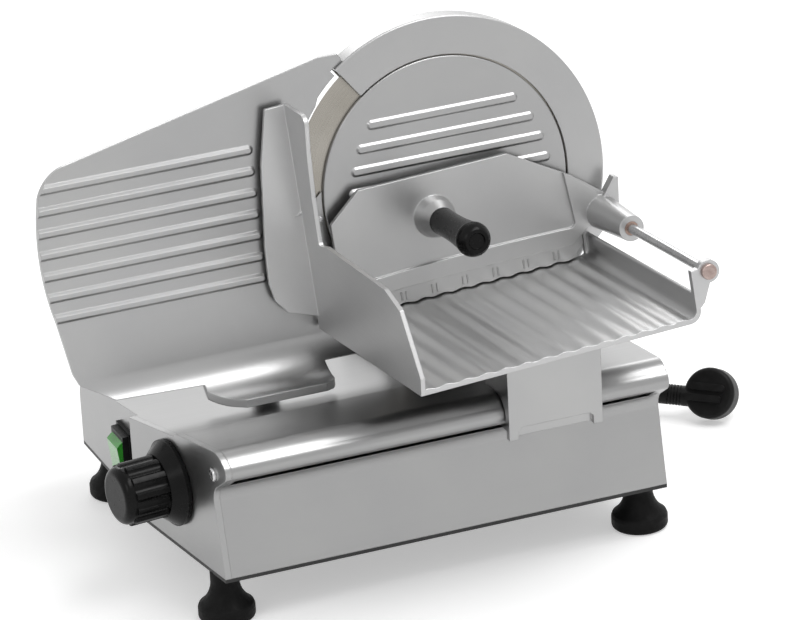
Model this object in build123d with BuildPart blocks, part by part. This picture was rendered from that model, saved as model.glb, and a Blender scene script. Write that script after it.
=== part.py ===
from build123d import *
from math import atan, ceil, cos, degrees, floor, pi, radians, sin, tan
import os

os.makedirs("parts", exist_ok=True)

# Gravity-feed food slicer with an electric drive, in millimetres.
# +X runs from the operator's end to the rear, the way the table travels, -Y is the
# side the table hangs over, +Z is up. The origin is on the worktop, under the middle
# of the whole machine. x and y below are counted from the base's near front corner.

# ---------------------------------------------------------------- driving dimensions
corner_x = -155.7  # near front corner of the base, from the origin
corner_y = -94.6
blade_lean = 7.25  # the blade leans away from the table by this angle
table_rise = 3.1  # the table climbs towards its rear end by this angle

running = 0.05  # radial clearance of what turns or slides
still = 0.02  # radial clearance of what is fixed in its hole
seat_gap = 0.3  # gap beside curved pieces that must not rub

foot_height = 40.0
foot_rim_radius = 22.4
foot_neck_radius = 11.3
foot_near_y = 15.0
foot_far_y = 273.0
foot_front_x = 9.0
foot_rear_x = 356.0
foot_bolt_radius = 3.0

bottom_plate_thickness = 3.0
base_front_x = -10.3
base_rear_x = 370.0
base_far_y = 292.0
base_wall = 4.0
side_foot_y = -11.0  # the near side is drawn in towards its top
side_waist_y = -0.6
side_waist_z = 106.0
nose_y = -24.8  # rounded rail cover that overhangs the near side
nose_top_z = 148.8
ridge_y = 59.0
ridge_z = 140.0
ridge_step = 3.2
top_fall = 9.3  # the top slopes down towards the far side

panel_turn = 7.08  # the knob panel faces the operator by this angle
panel_thickness = 5.0
panel_far_y = 142.0

knob_y = 71.3
knob_z = 95.0
knob_radius = 25.0
knob_length = 36.0
flute_count = 12
flute_radius = 6.2
dial_radius = 34.5
dial_thickness = 13.0
knob_shaft_radius = 5.0
cam_radius = 32.5
cam_thickness = 8.0
cam_inner = 13.0  # where the follower starts in the spiral
gauge_stroke = 14.0
knob_sweep = 300.0  # degrees for the whole stroke
groove_depth = 5.0
pin_radius = 3.0

switch_y = 175.5
switch_z = 78.0
switch_width = 28.0
switch_height = 42.0
switch_proud = 8.0
rocker_radius = 18.5
rocker_tilt = 7.0  # each way from upright

rod_y = -3.0  # guide rod of the table, inside the nose
rod_z = 129.0
rod_radius = 5.5
bush_wall = 1.7
bush_length = 18.0

blade_x = 254.2
blade_y = 133.6
blade_z = 269.5
blade_radius = 125.0
blade_thickness = 2.8
blade_bore = 24.0
blade_setback = 3.5  # blade face behind the cover's face
cover_radius = 102.0
cover_thickness = 3.0
guard_radius = 134.0
guard_depth = 16.0
guard_sheet = 2.5
guard_start = -112.0
guard_end = 127.0

spindle_radius = 7.5
bearing_radius = 16.0
bearing_width = 9.0
blade_pulley_radius = 40.0
motor_pulley_radius = 18.0
motor_drop = 135.0  # motor axis below the blade axis
belt_width = 14.0
belt_thickness = 2.5
housing_front = -20.0  # distances out from the cover's face
housing_back = -50.0
motor_radius = 45.0
motor_length = 96.0
motor_shaft_radius = 6.0
tie_rod_radius = 4.0

gauge_setback = 3.0
gauge_thickness = 4.5
gauge_lip_radius = 30.0
gauge_lip_level = -100.0  # where the lip starts, from the blade axis
gauge_rib_pitch = 17.2
gauge_rib_count = 7
gauge_rib_width = 8.0
gauge_rib_height = 2.6
carrier_x = 90.0
carrier_level = -182.0
gauge_rod_radius = 6.0

table_left = -123.0  # distances along the table from the blade axis
table_right = 109.5
table_level = -84.4
table_inner = 3.5
table_outer = 226.5
table_thickness = 4.1
table_wall = 3.5
wave_pitch = 16.2
wave_rise = 1.25
right_wall_top = -66.0

arm_front_x = 232.0
arm_width = 78.0
arm_outer_y = -33.0
arm_thickness = 6.0
arm_foot_z = 118.0
roller_radius = 8.0
roller_width = 14.0

pusher_inner = 9.0
pusher_thickness = 4.0
rod_along = 120.0
rod_level = -51.0
pusher_rod_radius = 4.0
pusher_boss_length = 62.0
handle_along = -18.0
handle_level = -20.0
handle_length = 74.0
handle_radius = 13.0

cable_radius = 3.5
gland_x = 335.0
gland_z = 72.0
coil_x = 230.0
coil_y = 362.0
coil_mid_radius = 38.5
coil_pitch = 8.8
coil_half_turns = 5  # in each of its two layers, with one more between them
relief_length = 30.0
plug_radius = 21.0
plug_thickness = 18.0
boot_radius = 8.4
floor_clearance = 0.1

# ---------------------------------------------------------------- frames
base_bottom_z = foot_height + bottom_plate_thickness
lean = radians(blade_lean)
rise = radians(table_rise)
turn = radians(panel_turn)
out = Vector(0, -cos(lean), sin(lean))  # square to the blade, towards the table
up = Vector(0, sin(lean), cos(lean))  # up the blade
along = Vector(1, 0, 0)
table_along = along * cos(rise) + up * sin(rise)
table_up = up * cos(rise) - along * sin(rise)
panel_in = Vector(cos(turn), sin(turn), 0)
panel_across = Vector(-sin(turn), cos(turn), 0)


def place(x, y, z):
    """A point counted from the near front corner."""
    return Vector(corner_x + x, corner_y + y, z)


blade_centre = place(blade_x, blade_y, blade_z)


def section(x):
    """Cross-section of the base: local x is y across, local y is z up."""
    return Plane(origin=place(x, 0, 0), x_dir=(0, 1, 0), z_dir=(1, 0, 0))


def level(z):
    """Horizontal plane, counted from the near front corner."""
    return Plane(origin=place(0, 0, z), x_dir=(1, 0, 0), z_dir=(0, 0, 1))


def blade_plane(distance=0.0):
    """Square to the blade axis, with the axis at its origin."""
    return Plane(origin=blade_centre + out * distance, x_dir=along, z_dir=out)


def table_plane(distance=0.0):
    """As blade_plane, but turned with the table."""
    return Plane(origin=blade_centre + out * distance, x_dir=table_along, z_dir=out)


def panel_plane(depth=0.0):
    """The knob panel's outer face, or a plane that deep behind it."""
    return Plane(origin=place(0, 0, 0) + panel_in * depth, x_dir=panel_across, z_dir=panel_in)


def blade_point(sideways, height, distance=0.0):
    return blade_centre + along * sideways + up * height + out * distance


def table_point(sideways, height, distance=0.0):
    return blade_centre + table_along * sideways + table_up * height + out * distance


def keep(piece, name):
    piece.part.label = name
    export_step(piece.part, f"parts/{name}.step")


# ---------------------------------------------------------------- base
top_slope = tan(radians(top_fall))


def top_z(y):
    return ridge_z - ridge_step - (y - ridge_y - ridge_step) * top_slope


def top_plane(x, y, height=0.0):
    """On the sloping top of the base, its normal straight out of it."""
    fall = radians(top_fall)
    normal = Vector(0, sin(fall), cos(fall))
    return Plane(origin=place(x, y, top_z(y)) + normal * height, x_dir=(1, 0, 0), z_dir=normal)


top_screw_radius = 2.5
foot_flange = 6.0
tunnel_flange = 3.0
top_screw_spots = [(blade_x + side, y) for y in (156, 184, 248) for side in (-57, 57)]
nose_back_y = -2.7
nose_under_z = 118.8
far_rounding = 20.0

with BuildSketch() as base_section:
    with BuildLine():
        ThreePointArc((side_foot_y, base_bottom_z), (side_foot_y * 0.51, 75), (side_waist_y, side_waist_z))
        ThreePointArc((side_waist_y, side_waist_z), (side_waist_y - 1.4, 113), (side_waist_y - 5.7, nose_under_z))
        Line((side_waist_y - 5.7, nose_under_z), (nose_y + 3.5, nose_under_z + 10))
        ThreePointArc((nose_y + 3.5, nose_under_z + 10), (nose_y, 134.5), (nose_y + 3.9, nose_top_z - 6.1))
        ThreePointArc((nose_y + 3.9, nose_top_z - 6.1), (nose_y + 11.6, nose_top_z - 0.8),
                      (nose_back_y, nose_top_z))
        Line((nose_back_y, nose_top_z), (ridge_y, ridge_z))
        Line((ridge_y, ridge_z), (ridge_y + ridge_step, top_z(ridge_y + ridge_step)))
        Line((ridge_y + ridge_step, top_z(ridge_y + ridge_step)), (base_far_y, top_z(base_far_y)))
        Line((base_far_y, top_z(base_far_y)), (base_far_y, base_bottom_z))
        Line((base_far_y, base_bottom_z), (side_foot_y, base_bottom_z))
    make_face()
    fillet(base_section.vertices().sort_by_distance((base_far_y, top_z(base_far_y)))[0], radius=far_rounding)

with BuildSketch() as base_cavity:
    add(base_section.sketch)
    offset(amount=-base_wall)
    with Locations(((side_foot_y + base_far_y) / 2, base_bottom_z + base_wall / 2 + 1)):
        Rectangle(base_far_y - side_foot_y - 2 * base_wall - 4, base_wall + 8)

foot_spots = [
    (foot_front_x, foot_near_y),
    (foot_rear_x, foot_near_y),
    (foot_front_x, foot_far_y),
    (foot_rear_x, foot_far_y),
]
motor_centre = blade_point(0, -motor_drop, housing_back - motor_length / 2)
tunnel_radius = motor_radius + 7  # motor cover, outside
tunnel_wall = 3.0
tunnel_end = housing_back - motor_length - 10
slot_near_y = nose_y + 5.8
slot_low_z = nose_under_z - 0.5
lug_half = 12.0
carrier_side = carrier_x - blade_x
front_lug = (24.0, 34.0)
rear_lug = (-84.0, -72.0)

with BuildPart() as base_housing:
    with BuildSketch(section(base_front_x - 12)):
        add(base_section.sketch)
    extrude(amount=base_rear_x - base_front_x + 12)
    # the far part of the front stands further back
    with BuildSketch(section(base_front_x - 20)):
        with Locations((panel_far_y + 100, 100)):
            Rectangle(200, 200)
    extrude(amount=20, mode=Mode.SUBTRACT)
    with BuildSketch(section(base_front_x + base_wall)):
        add(base_cavity.sketch)
    extrude(amount=base_rear_x - base_front_x - 2 * base_wall, mode=Mode.SUBTRACT)
    # foot pillars, from the bottom plate up to the top
    with BuildSketch(level(base_bottom_z)):
        for spot in foot_spots:
            with Locations(spot):
                Circle(9)
    extrude(amount=nose_top_z - base_bottom_z)
    # lugs that hang from the top and hold the gauge rod
    for lug in (front_lug, rear_lug):
        with BuildSketch(blade_plane(lug[0])):
            with BuildLine():
                Line((carrier_side - lug_half, carrier_level), (carrier_side - lug_half, carrier_level + 52))
                Line((carrier_side - lug_half, carrier_level + 52), (carrier_side + lug_half, carrier_level + 52))
                Line((carrier_side + lug_half, carrier_level + 52), (carrier_side + lug_half, carrier_level))
                ThreePointArc((carrier_side + lug_half, carrier_level), (carrier_side, carrier_level - lug_half),
                              (carrier_side - lug_half, carrier_level))
            make_face()
        extrude(amount=lug[1] - lug[0])
    with BuildSketch(section(base_front_x - 12)):
        add(base_section.sketch)
    extrude(amount=base_rear_x - base_front_x + 12, mode=Mode.INTERSECT)
    # the near part of the front is cut back to the knob panel
    with BuildSketch(panel_plane(panel_thickness)):
        with Locations((panel_far_y / cos(turn) - 85, 100)):
            Rectangle(200, 200)
    extrude(amount=-40, mode=Mode.SUBTRACT)
    with BuildSketch(blade_plane(front_lug[1] + 1)):
        with Locations((carrier_side, carrier_level)):
            Circle(gauge_rod_radius + still)
    extrude(amount=rear_lug[0] - front_lug[1] - 2, mode=Mode.SUBTRACT)
    # slot under the nose, for the web that carries the table
    with BuildSketch(section(base_front_x + 22)):
        with Locations((slot_near_y, slot_low_z)):
            Rectangle(22, 15, align=(Align.MIN, Align.MIN))
    extrude(amount=base_rear_x - base_front_x - 32, mode=Mode.SUBTRACT)
    # slot for the gauge carrier, behind the gauge plate
    with BuildSketch(blade_plane(-3)):
        with Locations((carrier_side, -150)):
            Rectangle(32, 60)
    extrude(amount=-36, mode=Mode.SUBTRACT)
    # opening over the motor and its pulley
    with BuildSketch(blade_plane(housing_front + 3)):
        with Locations((0, -motor_drop)):
            Rectangle(2 * (motor_radius + 2), 70)
    extrude(amount=tunnel_end - housing_front + 3, mode=Mode.SUBTRACT)
    # rod end hole, switch opening, cable hole and foot bolts
    with BuildSketch(section(base_rear_x + 1)):
        with Locations((rod_y, rod_z)):
            Circle(3.0 + seat_gap)
    extrude(amount=-base_wall - 2, mode=Mode.SUBTRACT)
    with BuildSketch(section(base_front_x - 1)):
        with Locations((switch_y, switch_z)):
            Rectangle(switch_width + 2 * seat_gap, switch_height + 2 * seat_gap)
    extrude(amount=base_wall + 2, mode=Mode.SUBTRACT)
    with BuildSketch(Plane(origin=place(gland_x, base_far_y + 1, gland_z), x_dir=(1, 0, 0), z_dir=(0, -1, 0))):
        Circle(8 + seat_gap)
    extrude(amount=base_wall + 2, mode=Mode.SUBTRACT)
    with BuildSketch(level(base_bottom_z)):
        for spot in foot_spots:
            with Locations(spot):
                Circle(foot_bolt_radius + still)
    extrude(amount=16, mode=Mode.SUBTRACT)
    for spot in top_screw_spots:
        with BuildSketch(top_plane(*spot)):
            Circle(top_screw_radius + still)
        extrude(amount=-base_wall - 4, mode=Mode.SUBTRACT)
keep(base_housing, "base_housing")

with BuildPart() as knob_panel:
    with BuildSketch(section(base_front_x - 15)):
        add(base_section.sketch)
    extrude(amount=40)
    with BuildSketch(panel_plane()):
        with Locations((panel_far_y / cos(turn), 0)):
            Rectangle(260, 400, align=(Align.MAX, Align.CENTER))
    extrude(amount=panel_thickness, mode=Mode.INTERSECT)
    with BuildSketch(panel_plane(-1)):
        with Locations((knob_y / cos(turn), knob_z)):
            Circle(knob_shaft_radius + running)
    extrude(amount=panel_thickness + 2, mode=Mode.SUBTRACT)
    with BuildSketch(section(-20)):
        with Locations((rod_y, rod_z)):
            Circle(3.0 + seat_gap)
    extrude(amount=40, mode=Mode.SUBTRACT)
    # spot face under the screw head, square to the rod
    with BuildSketch(section(-20)):
        with Locations((rod_y, rod_z)):
            Circle(5.6)
    extrude(amount=20 - rod_y * tan(turn) + 1.2, mode=Mode.SUBTRACT)
keep(knob_panel, "knob_panel")

with BuildPart() as bottom_plate:
    with BuildSketch(level(foot_height)):
        with BuildLine():
            Polyline(
                (base_front_x, base_far_y),
                (base_rear_x, base_far_y),
                (base_rear_x, side_foot_y),
                (-side_foot_y * tan(turn), side_foot_y),
                (-panel_far_y * tan(turn), panel_far_y),
                (base_front_x, panel_far_y),
                close=True,
            )
        make_face()
        for spot in foot_spots:
            with Locations(spot):
                Circle(foot_bolt_radius + seat_gap, mode=Mode.SUBTRACT)
    extrude(amount=bottom_plate_thickness)
keep(bottom_plate, "bottom_plate")

# ---------------------------------------------------------------- feet
bolt_head_depth = 12.0
with BuildPart() as feet:
    for spot in foot_spots:
        with BuildSketch(Plane(origin=place(spot[0], spot[1], 0), x_dir=(1, 0, 0), z_dir=(0, -1, 0))):
            with BuildLine():
                Line((foot_bolt_radius + seat_gap, foot_height), (foot_neck_radius, foot_height))
                Line((foot_neck_radius, foot_height), (foot_neck_radius, foot_height - 10))
                ThreePointArc((foot_neck_radius, foot_height - 10), (foot_neck_radius + 2.9, foot_height - 20),
                              (foot_rim_radius - 1, 12))
                Line((foot_rim_radius - 1, 12), (foot_rim_radius, 9.5))
                Line((foot_rim_radius, 9.5), (foot_rim_radius, 3.5))
                ThreePointArc((foot_rim_radius, 3.5), (foot_rim_radius - 1, 1), (foot_rim_radius - 3.5, 0))
                Line((foot_rim_radius - 3.5, 0), (8, 0))
                Line((8, 0), (8, bolt_head_depth))
                Line((8, bolt_head_depth), (foot_bolt_radius + seat_gap, bolt_head_depth))
                Line((foot_bolt_radius + seat_gap, bolt_head_depth), (foot_bolt_radius + seat_gap, foot_height))
            make_face()
        revolve(axis=Axis(place(spot[0], spot[1], 0), (0, 0, 1)))
keep(feet, "feet")

with BuildPart() as foot_bolts:
    for spot in foot_spots:
        with BuildSketch(level(bolt_head_depth)):
            with Locations(spot):
                Circle(foot_bolt_radius)
        extrude(amount=base_bottom_z + 14 - bolt_head_depth)
        with BuildSketch(level(bolt_head_depth)):
            with Locations(spot):
                RegularPolygon(5.5, 6)
        extrude(amount=-4)
keep(foot_bolts, "foot_bolts")

# ---------------------------------------------------------------- guide rod of the table
rod_front_x = -rod_y * tan(turn) + panel_thickness / cos(turn) + 1.2
rod_rear_x = base_rear_x - base_wall

with BuildPart() as guide_rod:
    with BuildSketch(section(rod_front_x)):
        with Locations((rod_y, rod_z)):
            Circle(rod_radius)
            Circle(3.0 + still, mode=Mode.SUBTRACT)
    extrude(amount=rod_rear_x - rod_front_x)
    with BuildSketch(section(rod_front_x + 16)):
        with Locations((rod_y, rod_z)):
            Circle(3.2)
    extrude(amount=rod_rear_x - rod_front_x - 32)
keep(guide_rod, "guide_rod")

panel_face_x = -rod_y * tan(turn) + 1.2
with BuildPart() as rod_screws:
    for face_x, way in ((panel_face_x, 1), (base_rear_x, -1)):
        with BuildSketch(section(face_x)):
            with Locations((rod_y, rod_z)):
                Circle(5.2)
        extrude(amount=-3.2 * way)
        fillet(rod_screws.faces().sort_by(Axis.X)[0 if way > 0 else -1].edges(), radius=1.4)
        with BuildSketch(section(face_x - 3.2 * way)):
            with Locations((rod_y, rod_z)):
                Rectangle(7, 1.3)
                Rectangle(1.3, 7)
        extrude(amount=1.6 * way, mode=Mode.SUBTRACT)
        with BuildSketch(section(face_x)):
            with Locations((rod_y, rod_z)):
                Circle(3.0)
        extrude(amount=15 * way)
keep(rod_screws, "rod_screws")

# ---------------------------------------------------------------- drive behind the blade
hull_radius = blade_pulley_radius + 18
guard_bolt_circle = hull_radius - 6
housing_wall = 4.5

with BuildSketch() as drive_outline:
    Circle(hull_radius)
    with Locations((0, -motor_drop)):
        Circle(motor_radius)
    make_hull()

with BuildPart() as drive_housing:
    with BuildSketch(blade_plane(housing_back)):
        add(drive_outline.sketch)
    extrude(amount=housing_front - housing_back)
    with BuildSketch(blade_plane(housing_back + 6)):
        add(drive_outline.sketch)
        offset(amount=-housing_wall)
    extrude(amount=housing_front - housing_back, mode=Mode.SUBTRACT)
    # spindle boss and guard lugs
    with BuildSketch(blade_plane(housing_back)):
        Circle(14)
        with PolarLocations(guard_bolt_circle, 4, start_angle=-75, angular_range=240):
            Circle(5.5)
    extrude(amount=8)
    with BuildSketch(blade_plane(housing_back)):
        with PolarLocations(guard_bolt_circle, 4, start_angle=-75, angular_range=240):
            Circle(5.5)
    extrude(amount=housing_front - housing_back)
    # foot flange on the sloping top of the base
    with BuildSketch(section(blade_x - 62)):
        with BuildLine():
            Polyline((146, top_z(146)), (198, top_z(198)), (198, top_z(198) + foot_flange),
                     (146, top_z(146) + foot_flange), close=True)
        make_face()
    extrude(amount=124)
    with BuildSketch(blade_plane(housing_back + 6)):
        add(drive_outline.sketch)
        offset(amount=-housing_wall)
    extrude(amount=housing_front - housing_back, mode=Mode.SUBTRACT)
    with BuildSketch(blade_plane(housing_back)):
        Rectangle(300, 500)
    extrude(amount=-80, mode=Mode.SUBTRACT)
    # cut to clear the base below its flange
    with BuildSketch(section(blade_x - 100)):
        with BuildLine():
            Polyline((60, top_z(60)), (300, top_z(300)), (300, 0), (60, 0), close=True)
        make_face()
    extrude(amount=100 - motor_radius, mode=Mode.SUBTRACT)
    with BuildSketch(section(blade_x + motor_radius)):
        with BuildLine():
            Polyline((60, top_z(60)), (300, top_z(300)), (300, 0), (60, 0), close=True)
        make_face()
    extrude(amount=100, mode=Mode.SUBTRACT)
    with BuildSketch(blade_plane(housing_front + 1)):
        Circle(spindle_radius + still)
        with Locations((0, -motor_drop)):
            Circle(motor_shaft_radius + 2)
        with PolarLocations(guard_bolt_circle, 4, start_angle=-75, angular_range=240):
            Circle(2.0 + still)
    extrude(amount=housing_back - housing_front - 2, mode=Mode.SUBTRACT)
    with BuildSketch(blade_plane(housing_back + 7)):
        with Locations((0, -motor_drop)):
            with PolarLocations(motor_radius - 10, 4, start_angle=45):
                Circle(2.5 + seat_gap)
    extrude(amount=-8, mode=Mode.SUBTRACT)
    for spot in top_screw_spots[:2]:
        with BuildSketch(top_plane(*spot)):
            Circle(top_screw_radius + seat_gap)
        extrude(amount=foot_flange + 1, mode=Mode.SUBTRACT)
keep(drive_housing, "drive_housing")

blade_front = -blade_setback
blade_back = blade_front - blade_thickness
hub_flange = 3.5
pulley_front = housing_front - 2.5
pulley_back = housing_back + 11
spindle_front = blade_back - hub_flange - 1

with BuildPart() as blade_spindle:
    with BuildSketch(blade_plane(housing_back - 6)):
        Circle(spindle_radius)
        Circle(tie_rod_radius + seat_gap, mode=Mode.SUBTRACT)
    extrude(amount=spindle_front - housing_back + 6)
    with BuildSketch(blade_plane(housing_back)):
        RegularPolygon(11, 6)
        Circle(tie_rod_radius + seat_gap, mode=Mode.SUBTRACT)
    extrude(amount=-6)
keep(blade_spindle, "blade_spindle")

bearing_places = (pulley_back + 1, spindle_front - bearing_width - 2)
with BuildPart() as blade_bearings:
    for inner_face in bearing_places:
        with BuildSketch(blade_plane(inner_face)):
            Circle(bearing_radius)
            Circle(spindle_radius + running, mode=Mode.SUBTRACT)
        extrude(amount=bearing_width)
        with BuildSketch(blade_plane(inner_face)):
            Circle(bearing_radius - 2)
            Circle(spindle_radius + 2.5, mode=Mode.SUBTRACT)
        extrude(amount=0.7, mode=Mode.SUBTRACT)
        with BuildSketch(blade_plane(inner_face + bearing_width)):
            Circle(bearing_radius - 2)
            Circle(spindle_radius + 2.5, mode=Mode.SUBTRACT)
        extrude(amount=-0.7, mode=Mode.SUBTRACT)
keep(blade_bearings, "blade_bearings")

blade_screw_circle = 33.0
with BuildPart() as blade_pulley:
    with BuildSketch(blade_plane(blade_back)):
        Circle(blade_pulley_radius)
    extrude(amount=-hub_flange)
    with BuildSketch(blade_plane(blade_back - hub_flange)):
        Circle(bearing_radius + 5)
    extrude(amount=pulley_back - blade_back + hub_flange)
    with BuildSketch(blade_plane(pulley_front)):
        Circle(blade_pulley_radius)
    extrude(amount=pulley_back - pulley_front)
    with BuildSketch(blade_plane(blade_back + 1)):
        Circle(spindle_radius + 3)
    extrude(amount=pulley_back - blade_back - 2, mode=Mode.SUBTRACT)
    with BuildSketch(blade_plane(bearing_places[0] - 2)):
        Circle(bearing_radius + still)
    extrude(amount=bearing_width + 2, mode=Mode.SUBTRACT)
    with BuildSketch(blade_plane(bearing_places[1])):
        Circle(bearing_radius + still)
    extrude(amount=bearing_width + 8, mode=Mode.SUBTRACT)
    with BuildSketch(blade_plane(blade_back + 1)):
        with PolarLocations(blade_screw_circle, 3, start_angle=90):
            Circle(2.5 + still)
    extrude(amount=-hub_flange - 2, mode=Mode.SUBTRACT)
keep(blade_pulley, "blade_pulley")

with BuildPart() as blade:
    with BuildSketch(Plane(origin=blade_centre, x_dir=along, z_dir=-up)):
        with BuildLine():
            Polyline(
                (blade_bore, blade_front),
                (blade_radius - 14, blade_front),
                (blade_radius, blade_back + 0.6),
                (blade_radius, blade_back),
                (blade_bore, blade_back),
                close=True,
            )
        make_face()
    revolve(axis=Axis(blade_centre, out))
    with BuildSketch(blade_plane(blade_front)):
        with PolarLocations(blade_screw_circle, 3, start_angle=90):
            Circle(5.2)
    extrude(amount=-blade_thickness, taper=44, mode=Mode.SUBTRACT)
keep(blade, "blade")

with BuildPart() as blade_screws:
    with BuildSketch(blade_plane(blade_front - 0.3)):
        with PolarLocations(blade_screw_circle, 3, start_angle=90):
            Circle(4.8)
    extrude(amount=-2.2, taper=44)
    with BuildSketch(blade_plane(blade_front - 0.3)):
        with PolarLocations(blade_screw_circle, 3, start_angle=90):
            Circle(2.5)
    extrude(amount=-blade_thickness - hub_flange + 0.4)
keep(blade_screws, "blade_screws")

# cover disc with four pressed ribs, held from behind by the tie rod
cover_ribs = ((57.8, 3.4, 127.0), (40.0, 4.2, 150.0), (22.9, 4.5, 163.0), (5.5, 4.5, 170.0))
with BuildPart() as cover_disc:
    with BuildSketch(blade_plane(-cover_thickness)):
        Circle(cover_radius)
    extrude(amount=cover_thickness)
    fillet(cover_disc.edges().group_by(Axis(blade_centre, out))[-1], radius=1.2)
    for height, shift, length in cover_ribs:
        with BuildSketch(blade_plane()):
            with Locations((shift, height)):
                SlotOverall(length, 8)
        extrude(amount=1.5, taper=50)
    with BuildSketch(blade_plane(-cover_thickness)):
        Circle(10)
        Circle(tie_rod_radius + still, mode=Mode.SUBTRACT)
    extrude(amount=spindle_front + cover_thickness)
keep(cover_disc, "cover_disc")

knob_back = housing_back - 8
with BuildPart() as cover_tie_rod:
    with BuildSketch(blade_plane(-cover_thickness - 0.5)):
        Circle(tie_rod_radius)
    extrude(amount=knob_back - 16 + cover_thickness + 0.5)
keep(cover_tie_rod, "cover_tie_rod")

with BuildPart() as cover_knob:
    with BuildSketch(blade_plane(knob_back)):
        Circle(15)
        with PolarLocations(16.5, 8):
            Circle(3.2, mode=Mode.SUBTRACT)
    extrude(amount=-20)
    fillet(cover_knob.faces().sort_by(Axis(blade_centre, out))[0].edges(), radius=1.5)
    with BuildSketch(blade_plane(knob_back)):
        Circle(tie_rod_radius + still)
    extrude(amount=-17, mode=Mode.SUBTRACT)
keep(cover_knob, "cover_knob")

guard_inner = cover_radius + 1.2


def sector(radius):
    """Pie slice that the guard covers, from its lower end round to the cutting side."""
    middle = radians((guard_start + guard_end) / 2)
    first = radians(guard_start)
    last = radians(guard_end)
    with BuildSketch() as slice_of:
        with BuildLine():
            Line((0, 0), (radius * cos(first), radius * sin(first)))
            ThreePointArc((radius * cos(first), radius * sin(first)), (radius * cos(middle), radius * sin(middle)),
                          (radius * cos(last), radius * sin(last)))
            Line((radius * cos(last), radius * sin(last)), (0, 0))
        make_face()
    return slice_of.sketch


with BuildPart() as blade_guard:
    with BuildSketch(blade_plane(-guard_depth)):
        add(sector(guard_radius))
        Circle(guard_radius - guard_sheet, mode=Mode.SUBTRACT)
    extrude(amount=guard_depth)
    with BuildSketch(blade_plane(-guard_sheet)):
        add(sector(guard_radius))
        Circle(guard_inner, mode=Mode.SUBTRACT)
    extrude(amount=guard_sheet)
    with BuildSketch(blade_plane(-guard_depth)):
        add(sector(guard_radius))
        Circle(blade_pulley_radius + 2, mode=Mode.SUBTRACT)
    extrude(amount=-guard_sheet)
    with BuildSketch(blade_plane(-guard_depth - guard_sheet)):
        with PolarLocations(guard_bolt_circle, 4, start_angle=-75, angular_range=240):
            Circle(5.5)
    extrude(amount=housing_front + guard_depth + guard_sheet)
    with BuildSketch(blade_plane(-guard_depth + 1)):
        with PolarLocations(guard_bolt_circle, 4, start_angle=-75, angular_range=240):
            Circle(2.0 + seat_gap)
    extrude(amount=housing_front + guard_depth - 2, mode=Mode.SUBTRACT)
    fillet(blade_guard.edges().filter_by(
        lambda e: abs(e.radius - guard_radius) < 0.01 if e.geom_type == GeomType.CIRCLE else False
    ).group_by(Axis(blade_centre, out))[-1], radius=1.6)
keep(blade_guard, "blade_guard")

with BuildPart() as guard_screws:
    with BuildSketch(blade_plane(-guard_depth)):
        with PolarLocations(guard_bolt_circle, 4, start_angle=-75, angular_range=240):
            Circle(3.8)
    extrude(amount=2.2)
    with BuildSketch(blade_plane(-guard_depth)):
        with PolarLocations(guard_bolt_circle, 4, start_angle=-75, angular_range=240):
            Circle(2.0)
    extrude(amount=housing_front + guard_depth - 8)
keep(guard_screws, "guard_screws")

# black shield on the blade below the cut, and the sheet that throws the slices clear
shield_outer = blade_radius - 8
shield_top = 173.0
shield_end = 360 + guard_start - 0.4
with BuildPart() as lower_shield:
    with BuildSketch(blade_plane(-guard_sheet)):
        with BuildLine():
            CenterArc((0, 0), guard_inner, shield_top, shield_end - shield_top)
            CenterArc((0, 0), shield_outer, shield_top + 7, shield_end - shield_top - 7)
            Line((guard_inner * cos(radians(shield_top)), guard_inner * sin(radians(shield_top))),
                 (shield_outer * cos(radians(shield_top + 7)), shield_outer * sin(radians(shield_top + 7))))
            Line((guard_inner * cos(radians(shield_end)), guard_inner * sin(radians(shield_end))),
                 (shield_outer * cos(radians(shield_end)), shield_outer * sin(radians(shield_end))))
        make_face()
    extrude(amount=guard_sheet - 0.8)
keep(lower_shield, "lower_shield")

with BuildPart() as shield_pin:
    with BuildSketch(blade_plane(-0.8)):
        with Locations((4 - (guard_inner + shield_outer) / 2, -9)):
            Circle(2.4)
    extrude(amount=1.6, taper=20)
keep(shield_pin, "shield_pin")

deflector_low = -58.0
with BuildPart() as slice_deflector:
    with BuildSketch(Plane(origin=blade_point(0, deflector_low), x_dir=along, z_dir=up)):
        with BuildLine():
            Polyline(
                (-hull_radius + 4.5, -housing_front),
                (-92, -housing_front),
                (-121, 45),
                (-122.4, 43.6),
                (-93, 18),
                (-hull_radius + 4.5, 18),
                close=True,
            )
        make_face()
    extrude(amount=2 * 52)
    with BuildSketch(blade_plane(housing_front + 3)):
        Circle(hull_radius - housing_wall + 0.2)
    extrude(amount=-6, mode=Mode.SUBTRACT)
keep(slice_deflector, "slice_deflector")

# ---------------------------------------------------------------- motor and belt
motor_end = housing_back - motor_length
with BuildPart() as motor_body:
    with BuildSketch(blade_plane(housing_back)):
        with Locations((0, -motor_drop)):
            Circle(motor_radius)
    extrude(amount=-motor_length)
    fillet(motor_body.faces().sort_by(Axis(blade_centre, out))[0].edges(), radius=6)
    with BuildSketch(blade_plane(housing_back - 16)):
        with Locations((0, -motor_drop)):
            Circle(motor_radius + 1)
            Circle(motor_radius - 2.5, mode=Mode.SUBTRACT)
    extrude(amount=-3, mode=Mode.SUBTRACT)
    with BuildSketch(blade_plane(motor_end + 26)):
        with Locations((0, -motor_drop)):
            Circle(motor_radius + 1)
            Circle(motor_radius - 2.5, mode=Mode.SUBTRACT)
    extrude(amount=3, mode=Mode.SUBTRACT)
    with BuildSketch(blade_plane(housing_back + 1)):
        with Locations((0, -motor_drop)):
            Circle(motor_shaft_radius + running)
    extrude(amount=-motor_length + 8, mode=Mode.SUBTRACT)
    with BuildSketch(blade_plane(housing_back + 1)):
        with Locations((0, -motor_drop)):
            with PolarLocations(motor_radius - 10, 4, start_angle=45):
                Circle(2.5 + still)
    extrude(amount=-12, mode=Mode.SUBTRACT)
keep(motor_body, "motor_body")

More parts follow.
